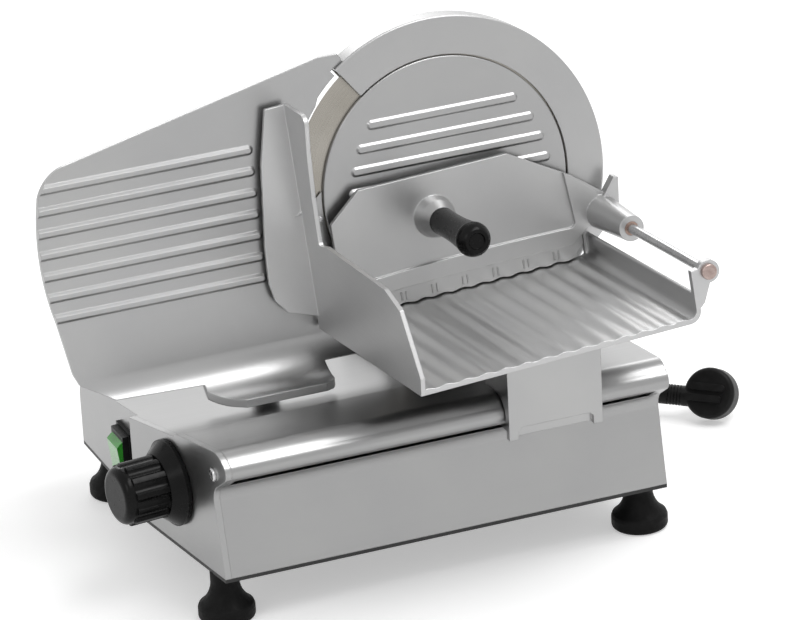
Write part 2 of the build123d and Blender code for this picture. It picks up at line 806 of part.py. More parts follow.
with BuildPart() as motor_screws:
    with BuildSketch(blade_plane(housing_back + 6)):
        with Locations((0, -motor_drop)):
            with PolarLocations(motor_radius - 10, 4, start_angle=45):
                Circle(4.5)
    extrude(amount=3)
    with BuildSketch(blade_plane(housing_back + 6)):
        with Locations((0, -motor_drop)):
            with PolarLocations(motor_radius - 10, 4, start_angle=45):
                Circle(2.5)
    extrude(amount=-16)
keep(motor_screws, "motor_screws")

with BuildPart() as motor_shaft:
    with BuildSketch(blade_plane(pulley_front)):
        with Locations((0, -motor_drop)):
            Circle(motor_shaft_radius)
    extrude(amount=motor_end + 12 - pulley_front)
keep(motor_shaft, "motor_shaft")

with BuildPart() as motor_pulley:
    with BuildSketch(blade_plane(pulley_front)):
        with Locations((0, -motor_drop)):
            Circle(motor_pulley_radius)
            Circle(motor_shaft_radius + still, mode=Mode.SUBTRACT)
    extrude(amount=pulley_back - pulley_front)
keep(motor_pulley, "motor_pulley")

belt_front = (pulley_front + pulley_back + belt_width) / 2
with BuildPart() as drive_belt:
    with BuildSketch(blade_plane(belt_front)):
        Circle(blade_pulley_radius + seat_gap + belt_thickness)
        with Locations((0, -motor_drop)):
            Circle(motor_pulley_radius + seat_gap + belt_thickness)
        make_hull()
    extrude(amount=-belt_width)
    with BuildSketch(blade_plane(belt_front)):
        Circle(blade_pulley_radius + seat_gap)
        with Locations((0, -motor_drop)):
            Circle(motor_pulley_radius + seat_gap)
        make_hull()
    extrude(amount=-belt_width, mode=Mode.SUBTRACT)
keep(drive_belt, "drive_belt")

under_top = [(60, top_z(60)), (300, top_z(300)), (300, 0), (60, 0)]
with BuildPart() as motor_cover:
    with BuildSketch(blade_plane(housing_back)):
        with Locations((0, -motor_drop)):
            Circle(tunnel_radius)
            Rectangle(2 * tunnel_radius, 70, align=(Align.CENTER, Align.MAX))
    extrude(amount=tunnel_end - housing_back)
    fillet(motor_cover.faces().sort_by(Axis(blade_centre, out))[0].edges().filter_by(
        lambda e: (e.center() - motor_centre).dot(up) > -20), radius=8)
    with BuildSketch(section(blade_x - 64)):
        with BuildLine():
            Polyline((140, top_z(140)), (262, top_z(262)), (262, top_z(262) + tunnel_flange),
                     (140, top_z(140) + tunnel_flange), close=True)
        make_face()
    extrude(amount=128)
    with BuildSketch(blade_plane(housing_back)):
        Rectangle(300, 600)
    extrude(amount=90, mode=Mode.SUBTRACT)
    with BuildSketch(blade_plane(housing_back)):
        with Locations((0, -motor_drop)):
            Circle(tunnel_radius - tunnel_wall)
            Rectangle(2 * (tunnel_radius - tunnel_wall), 70, align=(Align.CENTER, Align.MAX))
    extrude(amount=tunnel_end + tunnel_wall - housing_back, mode=Mode.SUBTRACT)
    with BuildSketch(section(blade_x - 100)):
        with BuildLine():
            Polyline(*under_top, close=True)
        make_face()
    extrude(amount=200, mode=Mode.SUBTRACT)
    # vent slots in the end
    with BuildSketch(blade_plane(tunnel_end - 1)):
        with Locations((0, -motor_drop + 24)):
            with GridLocations(0, 8, 1, 3):
                SlotOverall(50, 3.6)
    extrude(amount=tunnel_wall + 2, mode=Mode.SUBTRACT)
    for spot in top_screw_spots[2:]:
        with BuildSketch(top_plane(*spot)):
            Circle(top_screw_radius + seat_gap)
        extrude(amount=tunnel_flange + 1, mode=Mode.SUBTRACT)
keep(motor_cover, "motor_cover")

with BuildPart() as top_screws:
    for spot in top_screw_spots:
        height = foot_flange if spot in top_screw_spots[:2] else tunnel_flange
        with BuildSketch(top_plane(*spot, height=height)):
            Circle(4.5)
        extrude(amount=2.5)
        with BuildSketch(top_plane(*spot, height=height)):
            Circle(top_screw_radius)
        extrude(amount=-height - base_wall - 2)
keep(top_screws, "top_screws")

with BuildPart() as capacitor:
    with BuildSketch(level(base_bottom_z)):
        with Locations((160, 120)):
            Circle(17)
    extrude(amount=48)
    fillet(capacitor.faces().sort_by(Axis.Z)[-1].edges(), radius=3)
keep(capacitor, "capacitor")

with BuildPart() as control_board:
    with BuildSketch(level(base_bottom_z)):
        with Locations((60, 190)):
            with GridLocations(60, 40, 2, 2):
                Circle(4)
    extrude(amount=8)
    with BuildSketch(level(base_bottom_z + 8)):
        with Locations((60, 190)):
            Rectangle(74, 54)
    extrude(amount=1.6)
    with BuildSketch(level(base_bottom_z + 9.6)):
        with Locations((46, 196)):
            Rectangle(26, 18)
        with Locations((78, 188)):
            Rectangle(16, 30)
    extrude(amount=11)
keep(control_board, "control_board")

# ---------------------------------------------------------------- gauge plate
gauge_front = -gauge_setback
gauge_back = gauge_front - gauge_thickness
gauge_clear = blade_radius + 2.5  # radius of the edge beside the blade
shelf_thickness = gauge_thickness + 2
shelf_end = 34.0
lip_end = -120.6
tab_left, tab_right, tab_corner = -217.0, -117.0, -194.0


def polar(radius, angle):
    """A point in the blade plane, the angle counted from the rear."""
    return (radius * cos(radians(angle)), radius * sin(radians(angle)))


screw_levels = (-72.0, -92.0)
with BuildPart() as gauge_plate:
    with BuildSketch(Plane(origin=blade_point(-50, 0), x_dir=out, z_dir=-along)):
        with BuildLine():
            Line((gauge_front, 124), (gauge_front, gauge_lip_level))
            CenterArc((gauge_front + gauge_lip_radius, gauge_lip_level), gauge_lip_radius, 180, 90)
            Line((gauge_front + gauge_lip_radius, gauge_lip_level - gauge_lip_radius),
                 (shelf_end, gauge_lip_level - gauge_lip_radius))
            Line((shelf_end, gauge_lip_level - gauge_lip_radius),
                 (shelf_end, gauge_lip_level - gauge_lip_radius - shelf_thickness))
            Line((shelf_end, gauge_lip_level - gauge_lip_radius - shelf_thickness),
                 (gauge_front + gauge_lip_radius, gauge_lip_level - gauge_lip_radius - shelf_thickness))
            CenterArc((gauge_front + gauge_lip_radius, gauge_lip_level - 2), gauge_lip_radius + gauge_thickness,
                      180, 90)
            Line((gauge_back, gauge_lip_level - 2), (gauge_back, 124))
            Line((gauge_back, 124), (gauge_front, 124))
        make_face()
    extrude(amount=300)
    with BuildSketch(blade_plane(gauge_front)):
        for k in range(gauge_rib_count):
            with Locations((-250, 56.4 - k * gauge_rib_pitch)):
                SlotOverall(192, gauge_rib_width)
    extrude(amount=gauge_rib_height, taper=40)
    with BuildSketch(blade_plane(shelf_end + 5)):
        with BuildLine():
            first = polar(guard_radius + 0.9, 123)
            middle = polar(guard_radius + 0.9, 126)
            last = polar(guard_radius + 0.9, 128.5)
            ThreePointArc(first, middle, last)
            step = polar(gauge_clear + 2.4, 128.5)
            Line(last, step)
            below = polar(gauge_clear + 2.4, 138)
            ThreePointArc(step, polar(gauge_clear + 2.4, 133), below)
            edge = polar(gauge_clear, 141)
            Line(below, edge)
            foot = polar(gauge_clear, 243.5)
            ThreePointArc(edge, polar(gauge_clear, 192), foot)
            Polyline(foot, (-60, lip_end), (tab_right, lip_end), (tab_right, -145), (tab_left, -145),
                     (tab_left, lip_end), (-289.6, -118.5), (-314.9, -103.3), (-319, -94.3), (-327, -52.2))
            ThreePointArc((-327, -52.2), (-334.5, 2), (-330.2, 49.8))
            ThreePointArc((-330.2, 49.8), (-322.5, 62.6), (-308, 71.7))
            Polyline((-308, 71.7), (first[0] - 19.3, first[1] + 5.5), (first[0] - 3.5, first[1] + 5.5), first)
        make_face()
    extrude(amount=-60, mode=Mode.INTERSECT)
    with BuildSketch(Plane(origin=blade_point(0, gauge_lip_level), x_dir=along, z_dir=up)):
        with BuildLine():
            Polyline((tab_left - 5, -9), (tab_left, -9), (tab_corner, -shelf_end), (tab_corner, -shelf_end - 5),
                     (tab_left - 5, -shelf_end - 5), close=True)
        make_face()
        with BuildLine():
            Polyline((tab_right + 1, -shelf_end + 12), (tab_right - 3.5, -shelf_end + 3.5),
                     (tab_right - 12, -shelf_end - 1), (tab_right + 1, -shelf_end - 1), close=True)
        make_face()
    extrude(amount=-60, mode=Mode.SUBTRACT)
    with BuildSketch(blade_plane(gauge_back)):
        with Locations(*[(carrier_side, level_up) for level_up in screw_levels]):
            Circle(2.5 + still)
    extrude(amount=3.2, mode=Mode.SUBTRACT)
keep(gauge_plate, "gauge_plate")

# the spiral cam turns behind the panel and carries the gauge along its rod
knob_across = knob_y / cos(turn)
cam_front = 28.0
cam_back = cam_front + cam_thickness
groove_floor = cam_back - groove_depth
slide_across = (-out).dot(panel_across)
slide_up = (-out).dot(Vector(0, 0, 1))
slide_share = (slide_across ** 2 + slide_up ** 2) ** 0.5
pin_across = knob_across + cam_inner * slide_across / slide_share
pin_up = knob_z + cam_inner * slide_up / slide_share
pin_tip = groove_floor + 0.5
pin_end = cam_back + 13

carrier_half = 14.0
bar_near, bar_far = 16.0, 31.0
with BuildPart() as gauge_carrier:
    with BuildSketch(blade_plane(5)):
        with Locations((carrier_side, carrier_level)):
            Rectangle(2 * carrier_half, 2 * carrier_half)
    extrude(amount=-50)
    fillet(gauge_carrier.edges().filter_by(Axis((0, 0, 0), out)), radius=3)
    with BuildSketch(blade_plane(gauge_back)):
        with Locations((carrier_side, carrier_level + 10)):
            Rectangle(20, screw_levels[0] + 12 - carrier_level - 10, align=(Align.CENTER, Align.MIN))
    extrude(amount=-10.5)
    # bar that passes the front lug and reaches the cam
    with BuildSketch(blade_plane(-5)):
        with Locations((carrier_side - carrier_half - 9, carrier_level)):
            Rectangle(20, 16)
    extrude(amount=-15)
    with BuildSketch(blade_plane(-20)):
        with Locations((carrier_side - carrier_half - 10, carrier_level)):
            Rectangle(12, 16)
    extrude(amount=bar_far + 20)
    with BuildSketch(blade_plane(bar_near)):
        with Locations((carrier_side - carrier_half - 4, carrier_level)):
            Rectangle(40, 16, align=(Align.MAX, Align.CENTER))
    extrude(amount=bar_far - bar_near)
    with BuildSketch(panel_plane(cam_back + 1.2)):
        with Locations((pin_across, pin_up)):
            Circle(6.5)
    extrude(amount=18)
    with BuildSketch(panel_plane(cam_back)):
        with Locations((pin_across, pin_up)):
            Circle(pin_radius + still)
    extrude(amount=pin_end - cam_back + 0.5, mode=Mode.SUBTRACT)
    with BuildSketch(blade_plane(6)):
        with Locations((carrier_side, carrier_level)):
            Circle(gauge_rod_radius + running)
    extrude(amount=-52, mode=Mode.SUBTRACT)
    with BuildSketch(blade_plane(gauge_back + 1)):
        with Locations(*[(carrier_side, level_up) for level_up in screw_levels]):
            Circle(2.5 + still)
    extrude(amount=-13, mode=Mode.SUBTRACT)
keep(gauge_carrier, "gauge_carrier")

with BuildPart() as gauge_rod:
    with BuildSketch(blade_plane(front_lug[1])):
        with Locations((carrier_side, carrier_level)):
            Circle(gauge_rod_radius)
    extrude(amount=rear_lug[0] - front_lug[1])
keep(gauge_rod, "gauge_rod")

with BuildPart() as gauge_screws:
    with BuildSketch(blade_plane(gauge_back - 10.5)):
        with Locations(*[(carrier_side, level_up) for level_up in screw_levels]):
            Circle(4.5)
    extrude(amount=-3)
    with BuildSketch(blade_plane(gauge_back - 10.5)):
        with Locations(*[(carrier_side, level_up) for level_up in screw_levels]):
            Circle(2.5)
    extrude(amount=13.5)
keep(gauge_screws, "gauge_screws")

with BuildPart() as follower_pin:
    with BuildSketch(panel_plane(pin_tip)):
        with Locations((pin_across, pin_up)):
            Circle(pin_radius)
    extrude(amount=pin_end - pin_tip)
keep(follower_pin, "follower_pin")


def knob_plane(depth):
    """As panel_plane, with the knob's axis at its origin."""
    return Plane(origin=place(0, 0, knob_z) + panel_across * knob_across + panel_in * depth, x_dir=panel_across,
                 z_dir=panel_in)


groove_half = pin_radius + 0.35
groove_growth = gauge_stroke * slide_share / knob_sweep
groove_start = degrees(atan(slide_up / slide_across))
with BuildPart() as cam_disc:
    with BuildSketch(knob_plane(cam_front)):
        Circle(cam_radius)
    extrude(amount=cam_thickness)
    with BuildSketch(knob_plane(cam_back)):
        with BuildLine():
            spiral = Spline([polar(cam_inner + groove_growth * angle, groove_start + angle)
                             for angle in range(-12, int(knob_sweep) + 19, 10)])
        trace(spiral, line_width=2 * groove_half)
        with Locations(spiral @ 0, spiral @ 1):
            Circle(groove_half)
    extrude(amount=-groove_depth, mode=Mode.SUBTRACT)
    with BuildSketch(knob_plane(cam_front - 1)):
        Circle(knob_shaft_radius + still)
    extrude(amount=cam_thickness + 2, mode=Mode.SUBTRACT)
keep(cam_disc, "cam_disc")

knob_front = -dial_thickness - 0.4
with BuildPart() as knob_shaft:
    with BuildSketch(knob_plane(knob_front - 26)):
        Circle(knob_shaft_radius)
    extrude(amount=cam_back - knob_front + 26)
keep(knob_shaft, "knob_shaft")

with BuildPart() as index_dial:
    with BuildSketch(knob_plane(-0.4)):
        Circle(dial_radius)
    extrude(amount=-3)
    with BuildSketch(knob_plane(-3.4)):
        Circle(dial_radius - 0.6)
    extrude(amount=3 - dial_thickness, taper=40)
    with BuildSketch(knob_plane(-0.4)):
        Circle(knob_shaft_radius + still)
    extrude(amount=-dial_thickness, mode=Mode.SUBTRACT)
keep(index_dial, "index_dial")

with BuildPart() as control_knob:
    with BuildSketch(knob_plane(knob_front)):
        Circle(knob_radius)
        with PolarLocations(knob_radius + 4.0, flute_count):
            Circle(flute_radius, mode=Mode.SUBTRACT)
    extrude(amount=-knob_length + 8)
    with BuildSketch(knob_plane(knob_front - knob_length + 8)):
        Circle(knob_radius - 2)
    extrude(amount=-8)
    fillet(control_knob.faces().sort_by(Axis((0, 0, 0), panel_in))[0].edges(), radius=6)
    with BuildSketch(knob_plane(knob_front)):
        Circle(knob_shaft_radius + still)
    extrude(amount=-27, mode=Mode.SUBTRACT)
keep(control_knob, "control_knob")

# ---------------------------------------------------------------- switch
rocker_x = base_front_x + 2
rocker_width = 24.0
axle_radius = 1.5
axle_length = 1.2


def beside_switch(offset):
    """Upright plane square to the rocker's axle."""
    return Plane(origin=place(rocker_x, switch_y + offset, switch_z), x_dir=(1, 0, 0), z_dir=(0, -1, 0))


with BuildPart() as switch_frame:
    with BuildSketch(section(base_front_x)):
        with Locations((switch_y, switch_z)):
            Rectangle(switch_width + 3.4, switch_height + 3.4)
    extrude(amount=-3)
    with BuildSketch(section(base_front_x - 3)):
        with Locations((switch_y, switch_z)):
            Rectangle(switch_width, switch_height - 1)
    extrude(amount=3 - switch_proud, taper=4)
    with BuildSketch(section(base_front_x)):
        with Locations((switch_y, switch_z)):
            Rectangle(switch_width, switch_height)
    extrude(amount=24)
    with BuildSketch(beside_switch(rocker_width / 2 + seat_gap)):
        Circle(rocker_radius + seat_gap)
    extrude(amount=rocker_width + 2 * seat_gap, mode=Mode.SUBTRACT)
    with BuildSketch(beside_switch(rocker_width / 2 + axle_length + 0.2)):
        Circle(axle_radius + running)
    extrude(amount=rocker_width + 2 * axle_length + 0.4, mode=Mode.SUBTRACT)
keep(switch_frame, "switch_frame")

with BuildPart() as switch_rocker:
    with BuildSketch(beside_switch(rocker_width / 2)):
        Circle(rocker_radius)
        with Locations(Location((0, 0), rocker_tilt)):
            with Locations((-switch_proud - 2 - 3.2, 0)):
                Rectangle(20, 60, align=(Align.MAX, Align.CENTER), mode=Mode.SUBTRACT)
    extrude(amount=rocker_width)
    with BuildSketch(beside_switch(rocker_width / 2 + axle_length)):
        Circle(axle_radius)
    extrude(amount=rocker_width + 2 * axle_length)
keep(switch_rocker, "switch_rocker")

# ---------------------------------------------------------------- table
table_under = table_level - table_thickness
ear_radius = 14.0
ring_radius = 9.0
wave_half = wave_pitch / 2


def wave_height(spot):
    """Height of the floor's waves over their middle, each half wave a shallow arc."""
    count = spot // wave_half
    share = spot / wave_half - count - 0.5
    return wave_rise / 2 * (1 - 4 * share ** 2) * (1 if count % 2 else -1)


def wave_edge(first, last, lift=0.0):
    """Edge that follows the floor's waves between two places along the table."""
    crossings = [k * wave_half for k in range(floor(first / wave_half) + 1, ceil(last / wave_half))]
    stops = [first, *crossings, last]
    for begin, end in zip(stops, stops[1:]):
        middle = (begin + end) / 2
        ThreePointArc(*[(spot, table_level + lift + wave_height(spot)) for spot in (begin, middle, end)])


flange_side = arm_front_x + arm_width / 2 - blade_x - 2.9  # its middle, under the leaning table
flange_width = arm_width + 28
table_screw_spots = [
    (flange_side + side * (flange_width / 2 - 6.7), -distance) for side in (-1, 1) for distance in (122, 148)
]
corner_inside = 6.5
corner_outside = 10.0
wall_inside = table_right - table_wall
wave_last = wall_inside - corner_inside
with BuildPart() as carriage_table:
    with BuildSketch(table_plane(table_inner)):
        with BuildLine():
            wave_edge(table_left + table_wall, wave_last)
            join = table_level + wave_height(wave_last)
            ThreePointArc((wave_last, join), (wall_inside - 1.8, join + 2.0), (wall_inside, join + corner_inside))
            Line((wall_inside, join + corner_inside), (wall_inside, right_wall_top - 1.5))
            ThreePointArc((wall_inside, right_wall_top - 1.5), (wall_inside + table_wall / 2, right_wall_top),
                          (table_right, right_wall_top - 1.5))
            Line((table_right, right_wall_top - 1.5), (table_right, table_under + corner_outside))
            ThreePointArc((table_right, table_under + corner_outside), (table_right - 2.9, table_under + 2.9),
                          (table_right - corner_outside, table_under))
            Polyline((table_right - corner_outside, table_under), (table_left, table_under),
                     (table_left, table_level),
                     (table_left + table_wall, table_level + wave_height(table_left + table_wall)))
        make_face()
    extrude(amount=table_outer - table_inner)
    # left wall, high beside the blade and low further out
    with BuildSketch(Plane(origin=table_point(table_left, 0), x_dir=out, z_dir=-table_along)):
        with BuildLine():
            Polyline((table_inner, table_under), (table_inner, 96), (44, 95.5))
            ThreePointArc((44, 95.5), (49.3, 92.8), (51, 87))
            Polyline((51, 87), (44.5, 65), (38.5, 26.5), (37, -8.7))
            ThreePointArc((37, -8.7), (38, -11.4), (41, -12))
            Polyline((41, -12), (55, -10), (179.5, -14.5), (207.5, -25), (table_outer + 5, -74),
                     (table_outer, table_under), (table_inner, table_under))
        make_face()
    extrude(amount=-table_wall)
    # flange beside the gauge plate
    with BuildSketch(table_plane(table_inner)):
        with BuildLine():
            Polyline((table_left + 1, 96), (-138.7, 95.8), (-149, 52.3), (-156.9, -13.4), (-158.4, -41.7),
                     (-155.6, -56.7), (-147.1, -68.3), (table_left + 1, -77.5), close=True)
        make_face()
    extrude(amount=table_wall)
    with BuildSketch(table_plane(table_inner)):
        with BuildLine():
            Line((table_left, table_inner + 3), (table_left - 6, table_inner + 3))
            Line((table_left, table_inner + 3), (table_left, table_inner + 9))
            ThreePointArc((table_left - 6, table_inner + 3), (table_left - 1.8, table_inner + 4.8),
                          (table_left, table_inner + 9))
        make_face()
    # inner ear and outer post that hold the pusher rod
    with BuildSketch(table_plane(table_inner)):
        with Locations((rod_along, rod_level)):
            Circle(ear_radius)
        with BuildLine():
            Polyline((rod_along - ear_radius, rod_level), (table_right - 6, rod_level - 12),
                     (table_right - 6, table_under + 5), (table_right - 0.5, table_under + corner_outside),
                     (rod_along + 6, rod_level - 12.5), close=True)
        make_face()
    extrude(amount=4.5)
    with BuildSketch(table_plane(table_outer)):
        with Locations((rod_along, rod_level)):
            Circle(ring_radius)
        with BuildLine():
            Polyline((wall_inside, rod_level + 3), (rod_along - ring_radius + 1, rod_level + 4),
                     (rod_along, rod_level - ring_radius), (table_right + 4, table_under + 14),
                     (table_right - 0.5, table_under + corner_outside), (wall_inside, table_under + 6), close=True)
        make_face()
    extrude(amount=-6)
    with BuildSketch(table_plane(table_outer + 1)):
        with Locations((rod_along, rod_level)):
            Circle(pusher_rod_radius + still)
    extrude(amount=table_inner - table_outer - 2, mode=Mode.SUBTRACT)
    with BuildSketch(Plane(origin=table_point(0, table_under), x_dir=table_along, z_dir=table_up)):
        with Locations(*table_screw_spots):
            Circle(2.5 + still)
    extrude(amount=3, mode=Mode.SUBTRACT)
keep(carriage_table, "carriage_table")

with BuildPart() as pusher_rod:
    with BuildSketch(table_plane(table_inner)):
        with Locations((rod_along, rod_level)):
            Circle(pusher_rod_radius)
    extrude(amount=table_outer - table_inner)
    with BuildSketch(table_plane(table_outer)):
        with Locations((rod_along, rod_level)):
            Circle(2.2 + still)
    extrude(amount=-14, mode=Mode.SUBTRACT)
keep(pusher_rod, "pusher_rod")

with BuildPart() as rod_bolt:
    with BuildSketch(table_plane(table_outer)):
        with Locations((rod_along, rod_level)):
            Circle(6.2)
    extrude(amount=3.4)
    fillet(rod_bolt.faces().sort_by(Axis(blade_centre, out))[-1].edges(), radius=1.6)
    with BuildSketch(table_plane(table_outer)):
        with Locations((rod_along, rod_level)):
            Circle(2.2)
    extrude(amount=-13)
keep(rod_bolt, "rod_bolt")

# ---------------------------------------------------------------- arm under the table
flange_depth = 5.0
roller_y = 24.0
roller_fall = atan((nose_top_z - ridge_z) / (ridge_y - nose_back_y))
roller_axis = Vector(0, cos(roller_fall), -sin(roller_fall))
roller_up = Vector(0, sin(roller_fall), cos(roller_fall))
roller_x = arm_front_x + arm_width / 2
roller_track_z = nose_top_z - (roller_y - nose_back_y) * tan(roller_fall)
roller_centre = place(roller_x, roller_y, roller_track_z) + roller_up * (roller_radius + seat_gap)


def roller_plane(distance=0.0):
    """Square to the roller's axis."""
    return Plane(origin=roller_centre + roller_axis * distance, x_dir=(1, 0, 0), z_dir=roller_axis)


arm_far_y = 13.0
shoe_inset = 4.0
pin_from = -20.0
with BuildPart() as carriage_arm:
    with BuildSketch(section(arm_front_x)):
        with BuildLine():
            Polyline((arm_outer_y, arm_foot_z), (arm_outer_y - 3, 198), (arm_outer_y - 3, 230), (arm_far_y, 230),
                     (arm_far_y, 149.4), (-3, 151.3), (-14, 150.5))
            ThreePointArc((-14, 150.5), (-22.5, 145.5), (arm_outer_y + arm_thickness, 136))
            Polyline((arm_outer_y + arm_thickness, 136), (arm_outer_y + arm_thickness, arm_foot_z),
                     (arm_outer_y, arm_foot_z))
        make_face()
    extrude(amount=arm_width)
    # open pocket on the far side
    with BuildSketch(section(arm_front_x + arm_thickness)):
        with Locations((arm_outer_y + arm_thickness - 1, 163)):
            Rectangle(80, 80, align=(Align.MIN, Align.MIN))
    extrude(amount=arm_width - 2 * arm_thickness, mode=Mode.SUBTRACT)
    # two feet stay when the lower edge is cut away between them
    with BuildSketch(Plane(origin=place(arm_front_x + arm_width / 2, 0, arm_foot_z), x_dir=(1, 0, 0),
                           z_dir=(0, -1, 0))):
        with BuildLine():
            inner = arm_width / 2 - 7.5
            Polyline((-inner, -5), (-inner, 7), (-inner + 3, 10), (inner - 3, 10), (inner, 7), (inner, -5),
                     close=True)
        make_face()
    extrude(amount=60, mode=Mode.SUBTRACT)
    # web through the slot and the shoe on the guide rod
    with BuildSketch(section(arm_front_x + shoe_inset)):
        with BuildLine():
            Polyline((-29, 131), (-29, 119.5), (-12, 119.5), (-12, 125.5), (-22, 125.5), (-24.5, 128),
                     (-24.5, 131), close=True)
        make_face()
        with Locations((rod_y, rod_z + 0.5)):
            RectangleRounded(20, 20, 3)
    extrude(amount=arm_width - 2 * shoe_inset)
    # flange under the table
    with BuildSketch(Plane(origin=table_point(0, table_under), x_dir=table_along, z_dir=table_up)):
        with Locations((flange_side, -135)):
            RectangleRounded(flange_width, 52, 5)
    extrude(amount=-flange_depth)
    with BuildSketch(Plane(origin=table_point(0, table_under), x_dir=table_along, z_dir=table_up)):
        Rectangle(900, 900)
    extrude(amount=90, mode=Mode.SUBTRACT)
    with BuildSketch(Plane(origin=table_point(0, table_under), x_dir=table_along, z_dir=table_up)):
        with Locations(*table_screw_spots):
            Circle(2.5 + still)
    extrude(amount=-flange_depth - 1, mode=Mode.SUBTRACT)
    # bores for the guide rod, its bushes and the roller pin
    with BuildSketch(section(arm_front_x)):
        with Locations((rod_y, rod_z)):
            Circle(rod_radius + 0.8)
    extrude(amount=arm_width, mode=Mode.SUBTRACT)
    for end in (arm_front_x + shoe_inset, arm_front_x + arm_width - shoe_inset - bush_length):
        with BuildSketch(section(end)):
            with Locations((rod_y, rod_z)):
                Circle(rod_radius + bush_wall + still)
        extrude(amount=bush_length, mode=Mode.SUBTRACT)
    with BuildSketch(roller_plane(pin_from)):
        Circle(pin_radius + still)
    extrude(amount=-pin_from, mode=Mode.SUBTRACT)
keep(carriage_arm, "carriage_arm")

with BuildPart() as carriage_bushes:
    for end in (arm_front_x + shoe_inset, arm_front_x + arm_width - shoe_inset - bush_length):
        with BuildSketch(section(end)):
            with Locations((rod_y, rod_z)):
                Circle(rod_radius + bush_wall)
                Circle(rod_radius + running, mode=Mode.SUBTRACT)
        extrude(amount=bush_length)
keep(carriage_bushes, "carriage_bushes")

with BuildPart() as table_screws:
    for reach, radius in ((-flange_depth - 3, 4.5), (2.8, 2.5)):
        with BuildSketch(Plane(origin=table_point(0, table_under - flange_depth), x_dir=table_along,
                               z_dir=table_up)):
            with Locations(*table_screw_spots):
                Circle(radius)
        extrude(amount=-3 if reach < 0 else flange_depth + reach)
keep(table_screws, "table_screws")

with BuildPart() as support_roller:
    with BuildSketch(roller_plane(-roller_width / 2)):
        Circle(roller_radius)
        Circle(pin_radius + running, mode=Mode.SUBTRACT)
    extrude(amount=roller_width)
keep(support_roller, "support_roller")

with BuildPart() as roller_pin:
    with BuildSketch(roller_plane(pin_from)):
        Circle(pin_radius)
    extrude(amount=roller_width / 2 + 0.5 - pin_from)
    with BuildSketch(roller_plane(roller_width / 2 + 0.5)):
        Circle(5)
    extrude(amount=2)
keep(roller_pin, "roller_pin")

# ---------------------------------------------------------------- pusher
plate_left, plate_right = -103.0, 101.0
boss_front = pusher_inner + pusher_thickness
bush_outer = pusher_rod_radius + 1.6
floor_gap = 1.4
with BuildPart() as meat_pusher:
    with BuildSketch(table_plane(pusher_inner)):
        with BuildLine():
            Polyline((-96, -71), (plate_left, -64), (plate_left, -6.4), (-76.3, 15.8), (49.3, 14.7), (99.4, -15.5),
                     (rod_along + 5, -36.2))
            Polyline((rod_along + 5, -36.2), (rod_along, rod_level), (plate_right + 3, -62), (plate_right, -64),
                     (plate_right, -73))
            Polyline((plate_right, -73), (95, -78), (95, wave_height(95) + table_level + floor_gap))
            wave_edge(-96, 95, floor_gap)
            Line((-96, wave_height(-96) + table_level + floor_gap), (-96, -71))
        make_face()
        with Locations((rod_along, rod_level)):
            Circle(13.6)
    extrude(amount=pusher_thickness)
    # raised ledge along the bottom and up the right side
    with BuildSketch(table_plane(boss_front)):
        with BuildLine():
            Line((plate_left, -58.5), (plate_left, -64))
            Line((plate_left, -64), (-96, -71))
            ThreePointArc((-96, -71), (-2, -69.5), (92, -71))
            Polyline((92, -71), (plate_right, -64), (rod_along - 6, rod_level - 3), (rod_along - 2, -33),
                     (99.4, -15.5), (92.5, -11.5), (96, -52))
            ThreePointArc((96, -52), (94.5, -55.8), (91, -57))
            ThreePointArc((91, -57), (-2, -55.4), (plate_left, -58.5))
        make_face()
    extrude(amount=3)
    # pairs of ticks along the lower flange
    with BuildSketch(table_plane(boss_front)):
        for k in range(7):
            with Locations((-81 + 26 * k, -77), (-77 + 26 * k, -77)):
                Rectangle(1, 7)
    extrude(amount=0.8)
    # grips that hold the food, on the side towards the blade
    with BuildSketch(table_plane(pusher_inner)):
        for level_up in (-50, -38, -26, -14, -2):
            with Locations((-4, level_up)):
                Rectangle(150, 4)
    extrude(amount=-2.4, taper=32)
    # boss on the rod, with a finger, and the seat of the handle
    with BuildSketch(table_plane(boss_front)):
        with Locations((rod_along, rod_level)):
            Circle(13.8)
    extrude(amount=pusher_boss_length, taper=3.2)
    with BuildSketch(table_plane(pusher_inner)):
        with BuildLine():
            Polyline((rod_along + 2, rod_level + 13), (rod_along + 13, rod_level + 27),
                     (rod_along + 16.4, rod_level + 26), (rod_along + 13.5, rod_level + 1), close=True)
        make_face()
    extrude(amount=pusher_thickness + 5)
    with BuildSketch(table_plane(boss_front)):
        with Locations((handle_along, handle_level)):
            Circle(17)
    extrude(amount=9, taper=12)
    with BuildSketch(table_plane(boss_front + 9)):
        with Locations((handle_along, handle_level)):
            Circle(15.1)
    extrude(amount=9, taper=26)
    with BuildSketch(table_plane(pusher_inner - 1)):
        with Locations((rod_along, rod_level)):
            Circle(bush_outer + running)
        with Locations((handle_along, handle_level)):
            Circle(4 + still)
    extrude(amount=pusher_boss_length + 8, mode=Mode.SUBTRACT)
keep(meat_pusher, "meat_pusher")

with BuildPart() as pusher_bush:
    with BuildSketch(table_plane(pusher_inner + 0.2)):
        with Locations((rod_along, rod_level)):
            Circle(bush_outer)
            Circle(pusher_rod_radius + running, mode=Mode.SUBTRACT)
    extrude(amount=pusher_thickness + pusher_boss_length - 0.4)
keep(pusher_bush, "pusher_bush")

handle_front = boss_front + 18.0
with BuildPart() as handle_stud:
    with BuildSketch(table_plane(pusher_inner)):
        with Locations((handle_along, handle_level)):
            Circle(4)
    extrude(amount=handle_front - pusher_inner + 50)
keep(handle_stud, "handle_stud")

